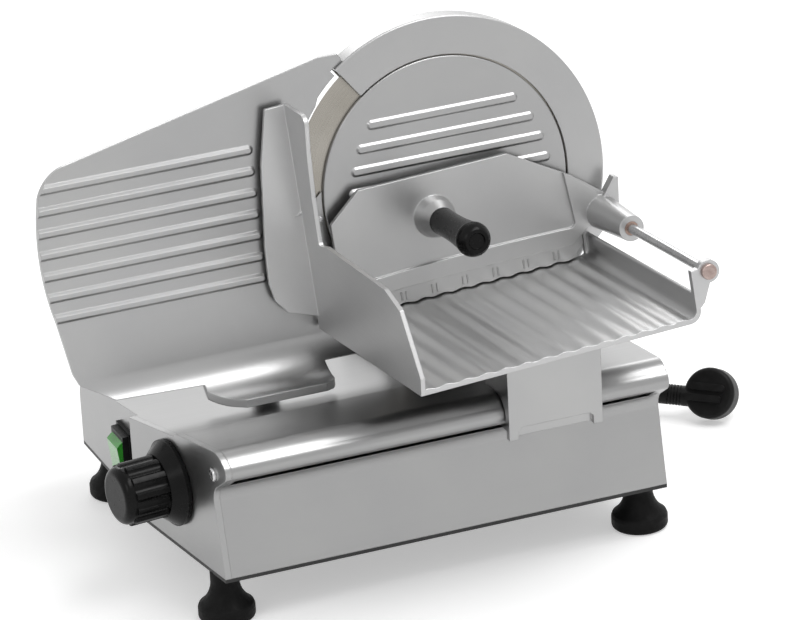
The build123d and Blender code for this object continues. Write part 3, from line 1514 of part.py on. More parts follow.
with BuildPart() as handle_grip:
    with BuildSketch(Plane(origin=table_point(handle_along, handle_level, handle_front), x_dir=table_along,
                           z_dir=-table_up)):
        with BuildLine():
            Line((4 + still, 0), (handle_radius - 2, 0))
            ThreePointArc((handle_radius - 2, 0), (handle_radius - 2.2, handle_length * 0.35),
                          (handle_radius, handle_length * 0.82))
            ThreePointArc((handle_radius, handle_length * 0.82), (handle_radius - 0.8, handle_length - 3),
                          (handle_radius - 3.5, handle_length))
            Polyline((handle_radius - 3.5, handle_length), (7, handle_length), (6, handle_length - 1.4),
                     (0, handle_length - 1.4), (0, 51), (4 + still, 51), (4 + still, 0))
        make_face()
    revolve(axis=Axis(table_point(handle_along, handle_level), out))
keep(handle_grip, "handle_grip")

# ---------------------------------------------------------------- mains lead


def behind(distance):
    """Upright plane square to the lead where it leaves, counted outwards from the far wall."""
    return Plane(origin=place(gland_x, base_far_y + distance, gland_z), x_dir=(1, 0, 0), z_dir=(0, 1, 0))


with BuildPart() as cable_gland:
    with BuildSketch(behind(0)):
        Circle(11)
    extrude(amount=3)
    with BuildSketch(behind(0)):
        Circle(8)
    extrude(amount=-base_wall - 6)
    with BuildSketch(behind(-base_wall)):
        RegularPolygon(11.5, 6)
    extrude(amount=-4)
    with BuildSketch(behind(4)):
        Circle(cable_radius + still)
    extrude(amount=-base_wall - 11, mode=Mode.SUBTRACT)
keep(cable_gland, "cable_gland")

with BuildPart() as strain_relief:
    with BuildSketch(behind(3)):
        Circle(7.6)
    extrude(amount=relief_length, taper=4.4)
    for k in range(5):
        with BuildSketch(behind(8 + k * 4.6)):
            Circle(9)
            Circle(6.0 - k * 0.3, mode=Mode.SUBTRACT)
        extrude(amount=1.4, mode=Mode.SUBTRACT)
    with BuildSketch(behind(2)):
        Circle(cable_radius + still)
    extrude(amount=relief_length + 2, mode=Mode.SUBTRACT)
keep(strain_relief, "strain_relief")


def bends(route):
    """Radius of each corner: 0.45 of its shorter run, over the tangent of half its turn."""
    radii = []
    for before, corner, after in zip(route, route[1:], route[2:]):
        coming = corner - before
        leaving = after - corner
        half_turn = radians(coming.get_angle(leaving)) / 2
        radii.append(0.45 * min(coming.length, leaving.length) / tan(half_turn))
    return radii


cord_z = cable_radius + floor_clearance
coil_outer = coil_mid_radius + coil_half_turns * coil_pitch / 4
coil_centre = place(coil_x, coil_y, cord_z)
lead_route = [
    place(gland_x, base_far_y - base_wall - 5, gland_z),
    place(gland_x, base_far_y + 68, gland_z),
    place(316, 404, 14),
    place(262, coil_y + coil_outer, cord_z + coil_pitch),
    place(coil_x + 2 * cable_radius, coil_y + coil_outer, cord_z + coil_pitch),
]
tail_route = [
    place(coil_x + 2 * cable_radius, coil_y - coil_outer, cord_z),
    place(275, coil_y - coil_outer, cord_z),
    place(325, 303, cord_z),
    place(374.2, 301, cord_z),
    place(398, 288.3, cord_z),
    place(413.1, 265.9, 8),
    place(415.9, 239, 16.5),
    place(428.6, 215.2, 23.5),
    place(450.3, 199.2, 22),
]

with BuildLine() as lead_line:
    FilletPolyline(*lead_route, radius=bends(lead_route))
with BuildPart() as cord_lead:
    with BuildSketch(Plane(origin=lead_line.line @ 0, z_dir=lead_line.line % 0)):
        Circle(cable_radius)
    sweep(path=lead_line.line)
keep(cord_lead, "cord_lead")

with BuildLine() as tail_line:
    FilletPolyline(*tail_route, radius=bends(tail_route))
with BuildPart() as cord_tail:
    with BuildSketch(Plane(origin=tail_line.line @ 0, z_dir=tail_line.line % 0)):
        Circle(cable_radius)
    sweep(path=tail_line.line)
keep(cord_tail, "cord_tail")


def biarc(start, start_way, end, end_way):
    """Two arcs that leave and arrive along the given directions."""
    chord = end - start
    spread = 2 * start_way.dot(end_way) - 2
    lean_in = chord.dot(start_way + end_way)
    reach = (lean_in - (lean_in ** 2 - spread * chord.dot(chord)) ** 0.5) / spread
    first_corner = start + start_way * reach
    last_corner = end - end_way * reach
    join = (first_corner + last_corner) * 0.5
    TangentArc(start, join, tangent=start_way)
    TangentArc(join, end, tangent=last_corner - first_corner)


# the lead winds inwards on top, drops half way round, and winds outwards on the floor
coil_stops = []
for k in range(2 * coil_half_turns + 2):
    inward = min(k, 2 * coil_half_turns + 1 - k)
    side = 1 if k % 2 == 0 else -1
    lift = coil_pitch if k <= coil_half_turns else 0
    coil_stops.append((coil_centre + Vector(0, side * (coil_outer - inward * coil_pitch / 2), lift),
                       Vector(-side, 0, 0)))
with BuildLine() as coil_line:
    Line(coil_stops[0][0] + Vector(2 * cable_radius, 0, 0), coil_stops[0][0])
    for start, end in zip(coil_stops, coil_stops[1:]):
        biarc(*start, *end)
    Line(coil_stops[-1][0], coil_stops[-1][0] + Vector(2 * cable_radius, 0, 0))
coil_path = Wire(coil_line.edges())
with BuildPart() as cord_coil:
    with BuildSketch(Plane(origin=coil_path @ 0, z_dir=coil_path % 0)):
        Circle(cable_radius)
    sweep(path=coil_path)
keep(cord_coil, "cord_coil")

samples = 1400
spots = [coil_path @ (k / samples) for k in range(samples + 1)]
apart = int(samples * 4 * coil_mid_radius / coil_path.length)
least = min((spots[i] - spots[j]).length for i in range(0, samples, 2) for j in range(i + apart, samples + 1, 2))
print("corner radii of the lead", [round(r, 1) for r in bends(lead_route)])
print("corner radii of the tail", [round(r, 1) for r in bends(tail_route)])
print("least gap in the coil", round(least - 2 * cable_radius, 2))
cord_runs = (("lead", cord_lead, lead_line), ("coil", cord_coil, coil_line), ("tail", cord_tail, tail_line))
for name, piece, path in cord_runs:
    length = sum(edge.length for edge in path.edges())
    print(name, "length", round(length, 1), "volume over section x length",
          round(piece.part.volume / (pi * cable_radius ** 2 * length), 4))

# the plug lies on the floor on the edge of its round head
plug_axis = Vector(-0.55, -0.70, 0.45).normalized()
plug_centre = place(488.8, 173.8, floor_clearance + plug_radius * (1 - plug_axis.Z ** 2) ** 0.5
                    + plug_thickness / 2 * plug_axis.Z)
boot_way = (tail_route[-1] - tail_route[-2]).normalized()
boot_length = 34.0
plug_side = Vector(0, 0, 1).cross(plug_axis).normalized()
with BuildPart() as plug:
    with BuildSketch(Plane(origin=plug_centre - plug_axis * (plug_thickness / 2), x_dir=plug_side,
                           z_dir=plug_axis)):
        Circle(plug_radius)
    extrude(amount=plug_thickness)
    fillet(plug.edges().group_by(Axis(plug_centre, plug_axis))[-1], radius=3.5)
    # the cable's boot: a short cone, then a round body with grooves
    with BuildSketch(Plane(origin=tail_route[-1], z_dir=boot_way)):
        Circle(boot_radius - 2.8)
    extrude(amount=4, taper=-35)
    with BuildSketch(Plane(origin=tail_route[-1] + boot_way * 3.9, z_dir=boot_way)):
        Circle(boot_radius)
    extrude(amount=boot_length - 3.9)
    for k in range(5):
        with BuildSketch(Plane(origin=tail_route[-1] + boot_way * (11 + 2.6 * k), z_dir=boot_way)):
            Circle(boot_radius + 1)
            Circle(boot_radius - 1.3, mode=Mode.SUBTRACT)
        extrude(amount=1.2, mode=Mode.SUBTRACT)
    # two ribs that carry the boot's line on over the head
    with BuildSketch(Plane(origin=plug_centre + plug_axis * (plug_thickness / 2 - 1),
                           x_dir=boot_way - plug_axis * boot_way.dot(plug_axis), z_dir=plug_axis)):
        with Locations((-2, 4.6), (-4, -4.6)):
            SlotOverall(30, 5.6)
    extrude(amount=4.2)
    with BuildSketch(Plane(origin=plug_centre - plug_axis * (plug_thickness / 2 + 1), x_dir=plug_side,
                           z_dir=plug_axis)):
        with Locations((9.5, 0), (-9.5, 0)):
            Circle(2.4 + still)
    extrude(amount=9, mode=Mode.SUBTRACT)
keep(plug, "plug")

with BuildPart() as plug_pins:
    with BuildSketch(Plane(origin=plug_centre - plug_axis * (plug_thickness / 2 - 8), x_dir=plug_side,
                           z_dir=plug_axis)):
        with Locations((9.5, 0), (-9.5, 0)):
            Circle(2.4)
    extrude(amount=-27)
keep(plug_pins, "plug_pins")
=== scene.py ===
from math import cos, pi, radians, sin

import bpy
from mathutils import Matrix, Vector


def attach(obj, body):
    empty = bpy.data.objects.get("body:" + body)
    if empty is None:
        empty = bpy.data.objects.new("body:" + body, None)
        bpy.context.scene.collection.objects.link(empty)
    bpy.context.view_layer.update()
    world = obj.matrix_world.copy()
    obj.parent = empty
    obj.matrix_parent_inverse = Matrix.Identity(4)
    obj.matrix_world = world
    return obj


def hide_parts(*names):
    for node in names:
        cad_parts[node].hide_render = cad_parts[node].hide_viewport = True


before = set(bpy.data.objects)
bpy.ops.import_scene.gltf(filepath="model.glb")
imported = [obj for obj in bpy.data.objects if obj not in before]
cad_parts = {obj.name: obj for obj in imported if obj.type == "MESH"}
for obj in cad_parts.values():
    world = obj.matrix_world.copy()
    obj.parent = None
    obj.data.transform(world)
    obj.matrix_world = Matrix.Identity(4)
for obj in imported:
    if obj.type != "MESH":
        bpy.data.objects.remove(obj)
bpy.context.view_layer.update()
bpy.ops.object.select_all(action="DESELECT")

# ---------------------------------------------------------------- camera
# The camera looks down on the slicer from its operator's left, through a long lens and with a
# slight roll.
camera_turn = -20
camera_elevation = 23
camera_roll = -3.6
camera_distance = 5.2
turn_left = Matrix.Rotation(radians(camera_turn), 4, "Z")
tip_down = Matrix.Rotation(radians(90 - camera_elevation), 4, "X")
roll = Matrix.Rotation(radians(camera_roll), 4, "Z")
facing = turn_left @ tip_down @ roll
aim = Vector((0.0, 0.0, 0.2)) + facing @ Vector((0.0383, -0.0033, 0.0))
bpy.ops.object.camera_add()
camera = bpy.context.object
camera.matrix_world = Matrix.Translation(aim + facing @ Vector((0.0, 0.0, camera_distance))) @ facing
camera.data.lens = 300
camera.data.sensor_width = 36
camera.data.dof.use_dof = False
camera.data.clip_start = 0.1
camera.data.clip_end = 60
bpy.context.scene.camera = camera

# ---------------------------------------------------------------- mains lead
# A round grey three-core flex of 7 mm leaves the back of the base. It is wound in a flat coil of
# five and a half turns behind the machine, and its last stretch runs round the rear corner to the plug.
corner = Vector((-155.7, -94.6, 0))
lead_points = [(335, 283, 72), (335, 360, 72), (316, 404, 14), (262, 411.5, 12.4), (237, 411.5, 12.4)]
coil_x, coil_y = 230, 362
coil_outer = 49.5
turn_spacing = 4.4
upper_level = 12.4
lower_level = 3.6
all_half_turns = 11
half_turn_points = 6
coil_points = []
for step in range(all_half_turns * half_turn_points):
    half_turns = (step + 0.5) / half_turn_points
    wound_in = min(half_turns, 5, all_half_turns - half_turns)
    reach = (coil_outer - turn_spacing * wound_in) / cos(radians(90 / half_turn_points))
    height = upper_level - (upper_level - lower_level) * min(max(half_turns - 5, 0), 1)
    coil_points.append((coil_x - reach * sin(half_turns * pi), coil_y + reach * cos(half_turns * pi), height))
tail_points = [
    (237, 312.5, 3.6), (275, 312.5, 3.6), (325, 303, 3.6), (374.2, 301, 3.6), (398, 288.3, 3.6),
    (413.1, 265.9, 8), (415.9, 239, 16.5), (428.6, 215.2, 23.5), (450.3, 199.2, 22),
]
lead_curve = bpy.data.curves.new("mains_lead", "CURVE")
lead_curve.dimensions = "3D"
line = lead_curve.splines.new("NURBS")
route = lead_points + coil_points + tail_points
line.points.add(len(route) - 1)
for point, place in zip(line.points, route):
    point.co = (*((Vector(place) + corner) / 1000), 1)
line.order_u = 3
line.use_endpoint_u = True
line.resolution_u = 6
lead_curve.bevel_depth = 0.0035
lead_curve.bevel_resolution = 5
lead_curve.use_fill_caps = True
mains_lead = bpy.data.objects.new("mains_lead", lead_curve)
bpy.context.collection.objects.link(mains_lead)


def new_finish(name, colour, roughness, metallic=0.0):
    """A material with its shader set to one base finish."""
    finish = bpy.data.materials.new(name)
    finish.use_nodes = True
    shader = finish.node_tree.nodes["Principled BSDF"]
    shader.inputs["Base Color"].default_value = (*colour, 1)
    shader.inputs["Roughness"].default_value = roughness
    shader.inputs["Metallic"].default_value = metallic
    return finish, shader


def noise(finish, scale, detail=3.0, stretch=(1, 1, 1)):
    """Cloudy pattern over the object's coordinates, stretched along a grain."""
    tree = finish.node_tree
    coordinates = tree.nodes.new("ShaderNodeTexCoord")
    mapping = tree.nodes.new("ShaderNodeMapping")
    mapping.inputs["Scale"].default_value = stretch
    pattern = tree.nodes.new("ShaderNodeTexNoise")
    pattern.inputs["Scale"].default_value = scale
    pattern.inputs["Detail"].default_value = detail
    tree.links.new(coordinates.outputs["Object"], mapping.inputs["Vector"])
    tree.links.new(mapping.outputs["Vector"], pattern.inputs["Vector"])
    return pattern.outputs["Fac"]


def vary(finish, socket, pattern, low, high):
    """Drives a plain number of the shader between two values with a pattern."""
    spread = finish.node_tree.nodes.new("ShaderNodeMapRange")
    spread.inputs["From Min"].default_value = 0.3
    spread.inputs["From Max"].default_value = 0.7
    spread.inputs["To Min"].default_value = low
    spread.inputs["To Max"].default_value = high
    finish.node_tree.links.new(pattern, spread.inputs["Value"])
    finish.node_tree.links.new(spread.outputs["Result"], socket)


def tint(finish, shader, pattern, dark, light):
    """Drives the shader's colour between two colours with a pattern."""
    blend = finish.node_tree.nodes.new("ShaderNodeValToRGB")
    blend.color_ramp.elements[0].position = 0.3
    blend.color_ramp.elements[0].color = (*dark, 1)
    blend.color_ramp.elements[1].position = 0.7
    blend.color_ramp.elements[1].color = (*light, 1)
    finish.node_tree.links.new(pattern, blend.inputs["Fac"])
    finish.node_tree.links.new(blend.outputs["Color"], shader.inputs["Base Color"])


def emboss(finish, shader, pattern, strength, depth, rounding=0.0):
    """Fine relief from a pattern, over edges that are softened by a small rounding."""
    tree = finish.node_tree
    relief = tree.nodes.new("ShaderNodeBump")
    relief.inputs["Strength"].default_value = strength
    relief.inputs["Distance"].default_value = depth
    tree.links.new(pattern, relief.inputs["Height"])
    tree.links.new(relief.outputs["Normal"], shader.inputs["Normal"])
    if rounding:
        edge = tree.nodes.new("ShaderNodeBevel")
        edge.samples = 4
        edge.inputs["Radius"].default_value = rounding
        tree.links.new(edge.outputs["Normal"], relief.inputs["Normal"])


def dress(finish, *names):
    """Gives a finish to every material slot of the named solids."""
    for name in names:
        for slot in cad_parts[name].material_slots:
            slot.material = finish


cable_pvc, shader = new_finish("cable_grey", (0.16, 0.16, 0.17), 0.42)
tint(cable_pvc, shader, noise(cable_pvc, 160), (0.13, 0.13, 0.14), (0.19, 0.19, 0.20))
vary(cable_pvc, shader.inputs["Roughness"], noise(cable_pvc, 420), 0.36, 0.5)
emboss(cable_pvc, shader, noise(cable_pvc, 900), 0.25, 0.0002)
lead_curve.materials.append(cable_pvc)
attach(mains_lead, "base")
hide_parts("cord_lead", "cord_coil", "cord_tail")

# ---------------------------------------------------------------- plug, boot and gland
# A moulded black mains plug with a ribbed boot and two nickel pins, and at the other end of the
# lead a ribbed rubber sleeve in a black gland that is screwed into the back of the base.
moulded_rubber, shader = new_finish("cord_black", (0.008, 0.008, 0.008), 0.4)
shader.inputs["Specular IOR Level"].default_value = 0.14
tint(moulded_rubber, shader, noise(moulded_rubber, 120), (0.006, 0.006, 0.006), (0.012, 0.012, 0.012))
vary(moulded_rubber, shader.inputs["Roughness"], noise(moulded_rubber, 700), 0.34, 0.5)
emboss(moulded_rubber, shader, noise(moulded_rubber, 1500), 0.3, 0.0002, rounding=0.0006)
dress(moulded_rubber, "plug", "strain_relief", "cable_gland")
nickel, shader = new_finish("pin_nickel", (0.62, 0.60, 0.56), 0.22, 1.0)
vary(nickel, shader.inputs["Roughness"], noise(nickel, 600), 0.16, 0.32)
emboss(nickel, shader, noise(nickel, 900, stretch=(1, 1, 4)), 0.15, 0.0001)
dress(nickel, "plug_pins")

# ---------------------------------------------------------------- tie of the coil
# A narrow black band of flat plastic holds the turns of the coil together, with a small square
# head on top where its end is pulled through.
band_middle = (0.0358, 0.2674, 0.0085)
band_size = (0.0272, 0.0048, 0.0168)
band_rounding = 0.0045
band_thickness = 0.0009
bpy.ops.mesh.primitive_cube_add(size=1, location=band_middle, scale=band_size)
coil_tie = bpy.context.object
coil_tie.name = "coil_tie"
bpy.ops.object.transform_apply(location=True, rotation=True, scale=True)
bpy.ops.object.mode_set(mode="EDIT")
bpy.ops.mesh.select_mode(type="FACE")
bpy.ops.mesh.select_all(action="DESELECT")
bpy.ops.object.mode_set(mode="OBJECT")
for face in coil_tie.data.polygons:
    face.select = abs(face.normal.y) > 0.9
bpy.ops.object.mode_set(mode="EDIT")
bpy.ops.mesh.delete(type="ONLY_FACE")
bpy.ops.mesh.select_mode(type="EDGE")
bpy.ops.mesh.select_all(action="DESELECT")
bpy.ops.object.mode_set(mode="OBJECT")
for edge in coil_tie.data.edges:
    ends = [coil_tie.data.vertices[k].co for k in edge.vertices]
    edge.select = abs(ends[0].y - ends[1].y) > 0.001
bpy.ops.object.mode_set(mode="EDIT")
bpy.ops.mesh.bevel(offset=band_rounding, segments=6, affect="EDGES")
bpy.ops.object.mode_set(mode="OBJECT")
wall = coil_tie.modifiers.new("band", "SOLIDIFY")
wall.thickness = band_thickness
wall.offset = -1
soft_edge = coil_tie.modifiers.new("edge", "BEVEL")
soft_edge.width = 0.0002
soft_edge.segments = 2
bpy.ops.object.modifier_apply(modifier="band")
bpy.ops.object.modifier_apply(modifier="edge")
head_middle = (0.0430, 0.2674, 0.0172)
head_size = (0.0062, 0.0066, 0.0036)
bpy.ops.mesh.primitive_cube_add(size=1, location=head_middle, scale=head_size)
tie_head = bpy.context.object
bpy.ops.object.transform_apply(location=True, rotation=True, scale=True)
bpy.ops.object.mode_set(mode="EDIT")
bpy.ops.mesh.select_all(action="SELECT")
bpy.ops.mesh.bevel(offset=0.0007, segments=3, affect="EDGES")
bpy.ops.object.mode_set(mode="OBJECT")
coil_tie.select_set(True)
bpy.context.view_layer.objects.active = coil_tie
bpy.ops.object.join()
bpy.ops.object.shade_smooth_by_angle(angle=radians(35))
bpy.context.scene.cursor.location = (0, 0, 0)
bpy.ops.object.origin_set(type="ORIGIN_CURSOR")
coil_tie.data.materials.clear()
coil_tie.data.materials.append(moulded_rubber)
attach(coil_tie, "base")
bpy.ops.object.select_all(action="DESELECT")

# ---------------------------------------------------------------- base housing
# The long hollow base is cast in aluminium, ground along its length and anodised to a soft satin
# grey, with the knob panel at its front finished in the same way. The base's grey is set darker
# than the other aluminium parts as painted shade, for the shade that its side lies in.
def satin_aluminium(name, tone, roughness, grain, rounding=0.0012):
    """Satin aluminium, its grain finest across the two directions with a large stretch."""
    finish, shader = new_finish(name, (tone, tone, tone), roughness, 1.0)
    clouds = noise(finish, 14, 4)
    dark = (tone * 0.97, tone * 0.97, tone * 0.975)
    light = (tone * 1.03, tone * 1.03, tone * 1.025)
    tint(finish, shader, clouds, dark, light)
    streaks = noise(finish, 1, 5, stretch=grain)
    vary(finish, shader.inputs["Roughness"], streaks, roughness - 0.02, roughness + 0.03)
    emboss(finish, shader, streaks, 0.008, 0.0001, rounding)
    return finish


# A tone of 0.33, darker than the rest of the aluminium: painted shade on the base.
base_satin_painted_shade = satin_aluminium("base_aluminium", 0.33, 0.3, (12, 900, 900))
dress(base_satin_painted_shade, "base_housing")
panel_satin = satin_aluminium("panel_aluminium", 0.35, 0.3, (900, 12, 900))
dress(panel_satin, "knob_panel")

# ---------------------------------------------------------------- bottom plate
# A black plate closes the base from below, held by the four feet, and shows as a thin dark edge
# under the base.
black_plate, shader = new_finish("black_paint", (0.012, 0.012, 0.012), 0.5)
tint(black_plate, shader, noise(black_plate, 60), (0.009, 0.009, 0.009), (0.018, 0.018, 0.018))
vary(black_plate, shader.inputs["Roughness"], noise(black_plate, 500), 0.42, 0.6)
emboss(black_plate, shader, noise(black_plate, 1400), 0.3, 0.0002)
dress(black_plate, "bottom_plate")

# ---------------------------------------------------------------- feet
# Four bell-shaped feet of black rubber, each moulded round a steel washer and held by a bolt.
foot_rubber, shader = new_finish("black_rubber", (0.007, 0.007, 0.007), 0.5)
shader.inputs["Specular IOR Level"].default_value = 0.1
tint(foot_rubber, shader, noise(foot_rubber, 90), (0.005, 0.005, 0.005), (0.01, 0.01, 0.01))
vary(foot_rubber, shader.inputs["Roughness"], noise(foot_rubber, 300), 0.45, 0.66)
emboss(foot_rubber, shader, noise(foot_rubber, 1800), 0.35, 0.00025, rounding=0.0008)
dress(foot_rubber, "feet")

# ---------------------------------------------------------------- screws, rods and bolts
# Turned and ground steel: the guide rod of the table, the pusher's rod, the gauge's rod, and the
# plated screws and bolts that hold the pieces together.
turned_steel, shader = new_finish("bright_steel", (0.56, 0.56, 0.57), 0.2, 1.0)
tint(turned_steel, shader, noise(turned_steel, 50), (0.5, 0.5, 0.51), (0.62, 0.62, 0.62))
vary(turned_steel, shader.inputs["Roughness"], noise(turned_steel, 900), 0.14, 0.3)
emboss(turned_steel, shader, noise(turned_steel, 1200), 0.12, 0.0001, rounding=0.0004)
dress(turned_steel, "foot_bolts", "guide_rod", "rod_screws", "blade_spindle", "blade_bearings",
      "blade_screws", "cover_tie_rod", "guard_screws", "motor_screws", "motor_shaft", "top_screws",
      "gauge_rod", "gauge_screws", "follower_pin", "knob_shaft", "pusher_rod", "table_screws",
      "roller_pin", "handle_stud", "shield_pin")

# ---------------------------------------------------------------- bolt and bush of the pusher's rod
# The bolt's head is darkened bronze, and the bush that slides on the rod shows a reddish ring.
# The table's bushes on the guide rod are of the same bronze.
bronze, shader = new_finish("bronze", (0.36, 0.26, 0.22), 0.4, 1.0)
tint(bronze, shader, noise(bronze, 200), (0.3, 0.21, 0.175), (0.42, 0.31, 0.265))
vary(bronze, shader.inputs["Roughness"], noise(bronze, 700), 0.28, 0.48)
emboss(bronze, shader, noise(bronze, 900), 0.2, 0.0001)
dress(bronze, "pusher_bush", "carriage_bushes")
bolt_bronze, shader = new_finish("bolt_bronze", (0.4, 0.31, 0.28), 0.4, 1.0)
tint(bolt_bronze, shader, noise(bolt_bronze, 300), (0.34, 0.26, 0.24), (0.46, 0.37, 0.34))
vary(bolt_bronze, shader.inputs["Roughness"], noise(bolt_bronze, 800), 0.3, 0.5)
emboss(bolt_bronze, shader, noise(bolt_bronze, 900), 0.2, 0.0001)
dress(bolt_bronze, "rod_bolt")

# ---------------------------------------------------------------- drive housing and motor cover
# The housing behind the blade is a plain grey casting, and the tunnel over the motor is pressed
# from sheet and finished like the base.
cast_grey, shader = new_finish("cast_grey", (0.36, 0.36, 0.36), 0.46, 1.0)
tint(cast_grey, shader, noise(cast_grey, 30), (0.32, 0.32, 0.32), (0.4, 0.4, 0.4))
vary(cast_grey, shader.inputs["Roughness"], noise(cast_grey, 400), 0.4, 0.55)
emboss(cast_grey, shader, noise(cast_grey, 900), 0.35, 0.0003, rounding=0.0012)
dress(cast_grey, "drive_housing", "gauge_carrier", "blade_pulley", "motor_pulley", "support_roller",
      "cam_disc")
cover_satin = satin_aluminium("tunnel_aluminium", 0.38, 0.32, (900, 12, 900))
dress(cover_satin, "motor_cover")

# ---------------------------------------------------------------- blade
# The blade is hardened stainless steel of a warm grey, ground in fine rings round its centre.
blade_centre = (0.0985, 0.039, 0.2695)
blade_lean = 82.75
blade_steel, shader = new_finish("blade_steel", (0.36, 0.342, 0.31), 0.3, 1.0)
tree = blade_steel.node_tree
coordinates = tree.nodes.new("ShaderNodeTexCoord")
about_axis = tree.nodes.new("ShaderNodeMapping")
about_axis.vector_type = "TEXTURE"
about_axis.inputs["Location"].default_value = blade_centre
about_axis.inputs["Rotation"].default_value = (radians(blade_lean), 0, 0)
apart = tree.nodes.new("ShaderNodeSeparateXYZ")
flat = tree.nodes.new("ShaderNodeCombineXYZ")
distance = tree.nodes.new("ShaderNodeVectorMath")
distance.operation = "LENGTH"
rings = tree.nodes.new("ShaderNodeTexNoise")
rings.noise_dimensions = "1D"
rings.inputs["Scale"].default_value = 1600
rings.inputs["Detail"].default_value = 4
tree.links.new(coordinates.outputs["Object"], about_axis.inputs["Vector"])
tree.links.new(about_axis.outputs["Vector"], apart.inputs["Vector"])
tree.links.new(apart.outputs["X"], flat.inputs["X"])
tree.links.new(apart.outputs["Y"], flat.inputs["Y"])
tree.links.new(flat.outputs["Vector"], distance.inputs[0])
tree.links.new(distance.outputs["Value"], rings.inputs["W"])
tint(blade_steel, shader, noise(blade_steel, 18), (0.335, 0.315, 0.28), (0.395, 0.375, 0.34))
vary(blade_steel, shader.inputs["Roughness"], rings.outputs["Fac"], 0.22, 0.38)
emboss(blade_steel, shader, rings.outputs["Fac"], 0.1, 0.0001, rounding=0.0003)
dress(blade_steel, "blade")

# ---------------------------------------------------------------- blade cover and guard
# A ribbed aluminium disc covers the middle of the blade, and a deep aluminium ring guards its
# edge on the far side. Both are spun, ground and anodised.
disc_satin = satin_aluminium("cover_aluminium", 0.4, 0.3, (700, 700, 14))
dress(disc_satin, "cover_disc")
guard_satin = satin_aluminium("guard_aluminium", 0.42, 0.3, (1300, 1300, 1300))
dress(guard_satin, "blade_guard")
shield_steel = satin_aluminium("steel_sheet", 0.38, 0.34, (500, 500, 30), rounding=0.0005)
dress(shield_steel, "lower_shield", "slice_deflector")

# ---------------------------------------------------------------- motor and electrics inside the base
# An induction motor in a grey enamelled can, its run capacitor, and the small control board of
# the switch. They are hidden inside, and show only through the vent slots.
motor_enamel, shader = new_finish("motor_paint", (0.09, 0.1, 0.12), 0.4)
tint(motor_enamel, shader, noise(motor_enamel, 40), (0.07, 0.08, 0.1), (0.11, 0.12, 0.14))
emboss(motor_enamel, shader, noise(motor_enamel, 800), 0.3, 0.0002)
dress(motor_enamel, "motor_body", "capacitor")
board_green, shader = new_finish("board_green", (0.01, 0.09, 0.04), 0.4)
tint(board_green, shader, noise(board_green, 300), (0.008, 0.07, 0.03), (0.014, 0.12, 0.05))
emboss(board_green, shader, noise(board_green, 700), 0.3, 0.0002)
dress(board_green, "control_board")
belt_rubber, shader = new_finish("belt_rubber", (0.02, 0.02, 0.02), 0.6)
tint(belt_rubber, shader, noise(belt_rubber, 200), (0.015, 0.015, 0.015), (0.03, 0.03, 0.03))
emboss(belt_rubber, shader, noise(belt_rubber, 700), 0.3, 0.0002)
dress(belt_rubber, "drive_belt")

# ---------------------------------------------------------------- gauge plate
# The gauge plate is cast with seven long ribs that let the food slide, and bends forward into a
# shelf at its foot. It is ground up and down, and anodised.
gauge_satin = satin_aluminium("gauge_aluminium", 0.41, 0.34, (800, 800, 12))
dress(gauge_satin, "gauge_plate")

# ---------------------------------------------------------------- knob and dial
# The fluted thickness knob and the conical dial behind it are moulded in glossy black plastic, as
# are the pusher's handle and the knob at the back that holds the blade's cover.
knob_plastic, shader = new_finish("black_gloss", (0.004, 0.004, 0.004), 0.2)
shader.inputs["Specular IOR Level"].default_value = 0.12
tint(knob_plastic, shader, noise(knob_plastic, 80), (0.003, 0.003, 0.003), (0.006, 0.006, 0.006))
vary(knob_plastic, shader.inputs["Roughness"], noise(knob_plastic, 260), 0.16, 0.3)
emboss(knob_plastic, shader, noise(knob_plastic, 600), 0.06, 0.0002, rounding=0.0006)
dress(knob_plastic, "control_knob", "index_dial", "handle_grip", "cover_knob")

# ---------------------------------------------------------------- switch
# A glossy green rocker is clipped into a matte black plastic frame, which is pressed into an
# opening in the front of the base.
switch_black, shader = new_finish("black_matte", (0.007, 0.007, 0.007), 0.35)
shader.inputs["Specular IOR Level"].default_value = 0.14
tint(switch_black, shader, noise(switch_black, 100), (0.005, 0.005, 0.005), (0.01, 0.01, 0.01))
vary(switch_black, shader.inputs["Roughness"], noise(switch_black, 500), 0.3, 0.48)
emboss(switch_black, shader, noise(switch_black, 900), 0.2, 0.0002, rounding=0.0005)
dress(switch_black, "switch_frame")
rocker_green, shader = new_finish("switch_green", (0.03, 0.34, 0.02), 0.25)
shader.inputs["Coat Weight"].default_value = 0.5
tint(rocker_green, shader, noise(rocker_green, 90), (0.02, 0.26, 0.012), (0.04, 0.42, 0.03))
emboss(rocker_green, shader, noise(rocker_green, 400), 0.06, 0.0002, rounding=0.0005)
dress(rocker_green, "switch_rocker")

# ---------------------------------------------------------------- table and its arm
# The sliding table is cast with a waved floor, and stands on a hollow arm. Both are ground along
# the way that the food is pushed, and anodised. The table's grey is set lighter than the arm and
# the rest of the aluminium as painted light, for the light that its waved floor reflects.
# A tone of 0.52, lighter than the other aluminium: painted light on the table.
table_satin_painted_light = satin_aluminium("table_aluminium", 0.52, 0.38, (900, 14, 900))
dress(table_satin_painted_light, "carriage_table")
arm_satin = satin_aluminium("arm_aluminium", 0.38, 0.3, (700, 700, 14))
dress(arm_satin, "carriage_arm")

# ---------------------------------------------------------------- pusher
# The pusher plate holds the food against the blade, with a raised ledge along its bottom, a long
# boss on the rod, and the seat of the black handle.
pusher_satin = satin_aluminium("pusher_aluminium", 0.46, 0.34, (800, 800, 14))
dress(pusher_satin, "meat_pusher")

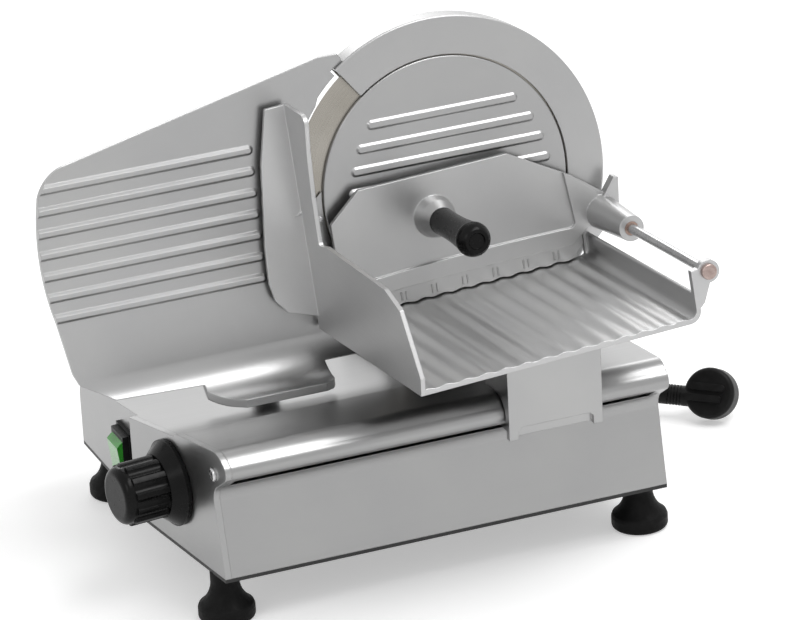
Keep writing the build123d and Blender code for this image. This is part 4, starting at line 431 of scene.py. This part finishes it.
# ---------------------------------------------------------------- floor, backdrop and light
# A plain white table top runs back out of sight, under three large soft lamps and an even white
# sky. The floor and the sky look white to the camera and in the metal.
floor_glow = 0.42
sky_light = 0.5
sky_seen = 1.0
bpy.ops.mesh.primitive_plane_add(size=16, location=(0, 2, -0.0003))
floor = bpy.context.object
floor.name = "floor"
paper = bpy.data.materials.new("paper")
paper.use_nodes = True
tree = paper.node_tree
matte = tree.nodes["Principled BSDF"]
matte.inputs["Base Color"].default_value = (0.82, 0.82, 0.82, 1)
matte.inputs["Roughness"].default_value = 0.9
matte.inputs["Specular IOR Level"].default_value = 0.1
rays = tree.nodes.new("ShaderNodeLightPath")
glossy_too = tree.nodes.new("ShaderNodeMath")
glossy_too.operation = "MAXIMUM"
through_too = tree.nodes.new("ShaderNodeMath")
through_too.operation = "MAXIMUM"
glow = tree.nodes.new("ShaderNodeEmission")
both = tree.nodes.new("ShaderNodeAddShader")
tree.links.new(rays.outputs["Is Camera Ray"], glossy_too.inputs[0])
tree.links.new(rays.outputs["Is Glossy Ray"], glossy_too.inputs[1])
tree.links.new(glossy_too.outputs["Value"], through_too.inputs[0])
tree.links.new(rays.outputs["Is Transmission Ray"], through_too.inputs[1])
lift = tree.nodes.new("ShaderNodeMath")
lift.operation = "MULTIPLY"
lift.inputs[1].default_value = floor_glow
tree.links.new(through_too.outputs["Value"], lift.inputs[0])
tree.links.new(lift.outputs["Value"], glow.inputs["Strength"])
tree.links.new(matte.outputs["BSDF"], both.inputs[0])
tree.links.new(glow.outputs["Emission"], both.inputs[1])
tree.links.new(both.outputs["Shader"], tree.nodes["Material Output"].inputs["Surface"])
floor.data.materials.append(paper)

world = bpy.data.worlds.new("studio")
bpy.context.scene.world = world
world.use_nodes = True
tree = world.node_tree
backdrop = tree.nodes["Background"]
backdrop.inputs["Color"].default_value = (1, 1, 1, 1)
rays = tree.nodes.new("ShaderNodeLightPath")
seen = tree.nodes.new("ShaderNodeMath")
seen.operation = "MAXIMUM"
seen_through = tree.nodes.new("ShaderNodeMath")
seen_through.operation = "MAXIMUM"
level = tree.nodes.new("ShaderNodeMapRange")
level.inputs["To Min"].default_value = sky_light
level.inputs["To Max"].default_value = sky_seen
tree.links.new(rays.outputs["Is Camera Ray"], seen.inputs[0])
tree.links.new(rays.outputs["Is Glossy Ray"], seen.inputs[1])
tree.links.new(seen.outputs["Value"], seen_through.inputs[0])
tree.links.new(rays.outputs["Is Transmission Ray"], seen_through.inputs[1])
tree.links.new(seen_through.outputs["Value"], level.inputs["Value"])
tree.links.new(level.outputs["Result"], backdrop.inputs["Strength"])

lamps = [
    ("back_lamp", (0.9, 2.3, 1.3), 2.2, 0.8, 15),
    ("top_lamp", (0.7, -0.7, 2.1), 1.8, 0.8, 24),
    ("front_lamp", (-1.9, -1.3, 1.7), 0.9, 1.1, 6),
]
for name, place, width, height, power in lamps:
    bpy.ops.object.light_add(type="AREA", location=place)
    lamp = bpy.context.object
    lamp.name = name
    lamp.data.shape = "RECTANGLE"
    lamp.data.size = width
    lamp.data.size_y = height
    lamp.data.energy = power
    lamp.rotation_euler = (Vector((0, 0, 0.2)) - Vector(place)).to_track_quat("-Z", "Y").to_euler()
    lamp.visible_camera = False

bpy.context.scene.view_settings.view_transform = "Standard"
bpy.context.view_layer.update()
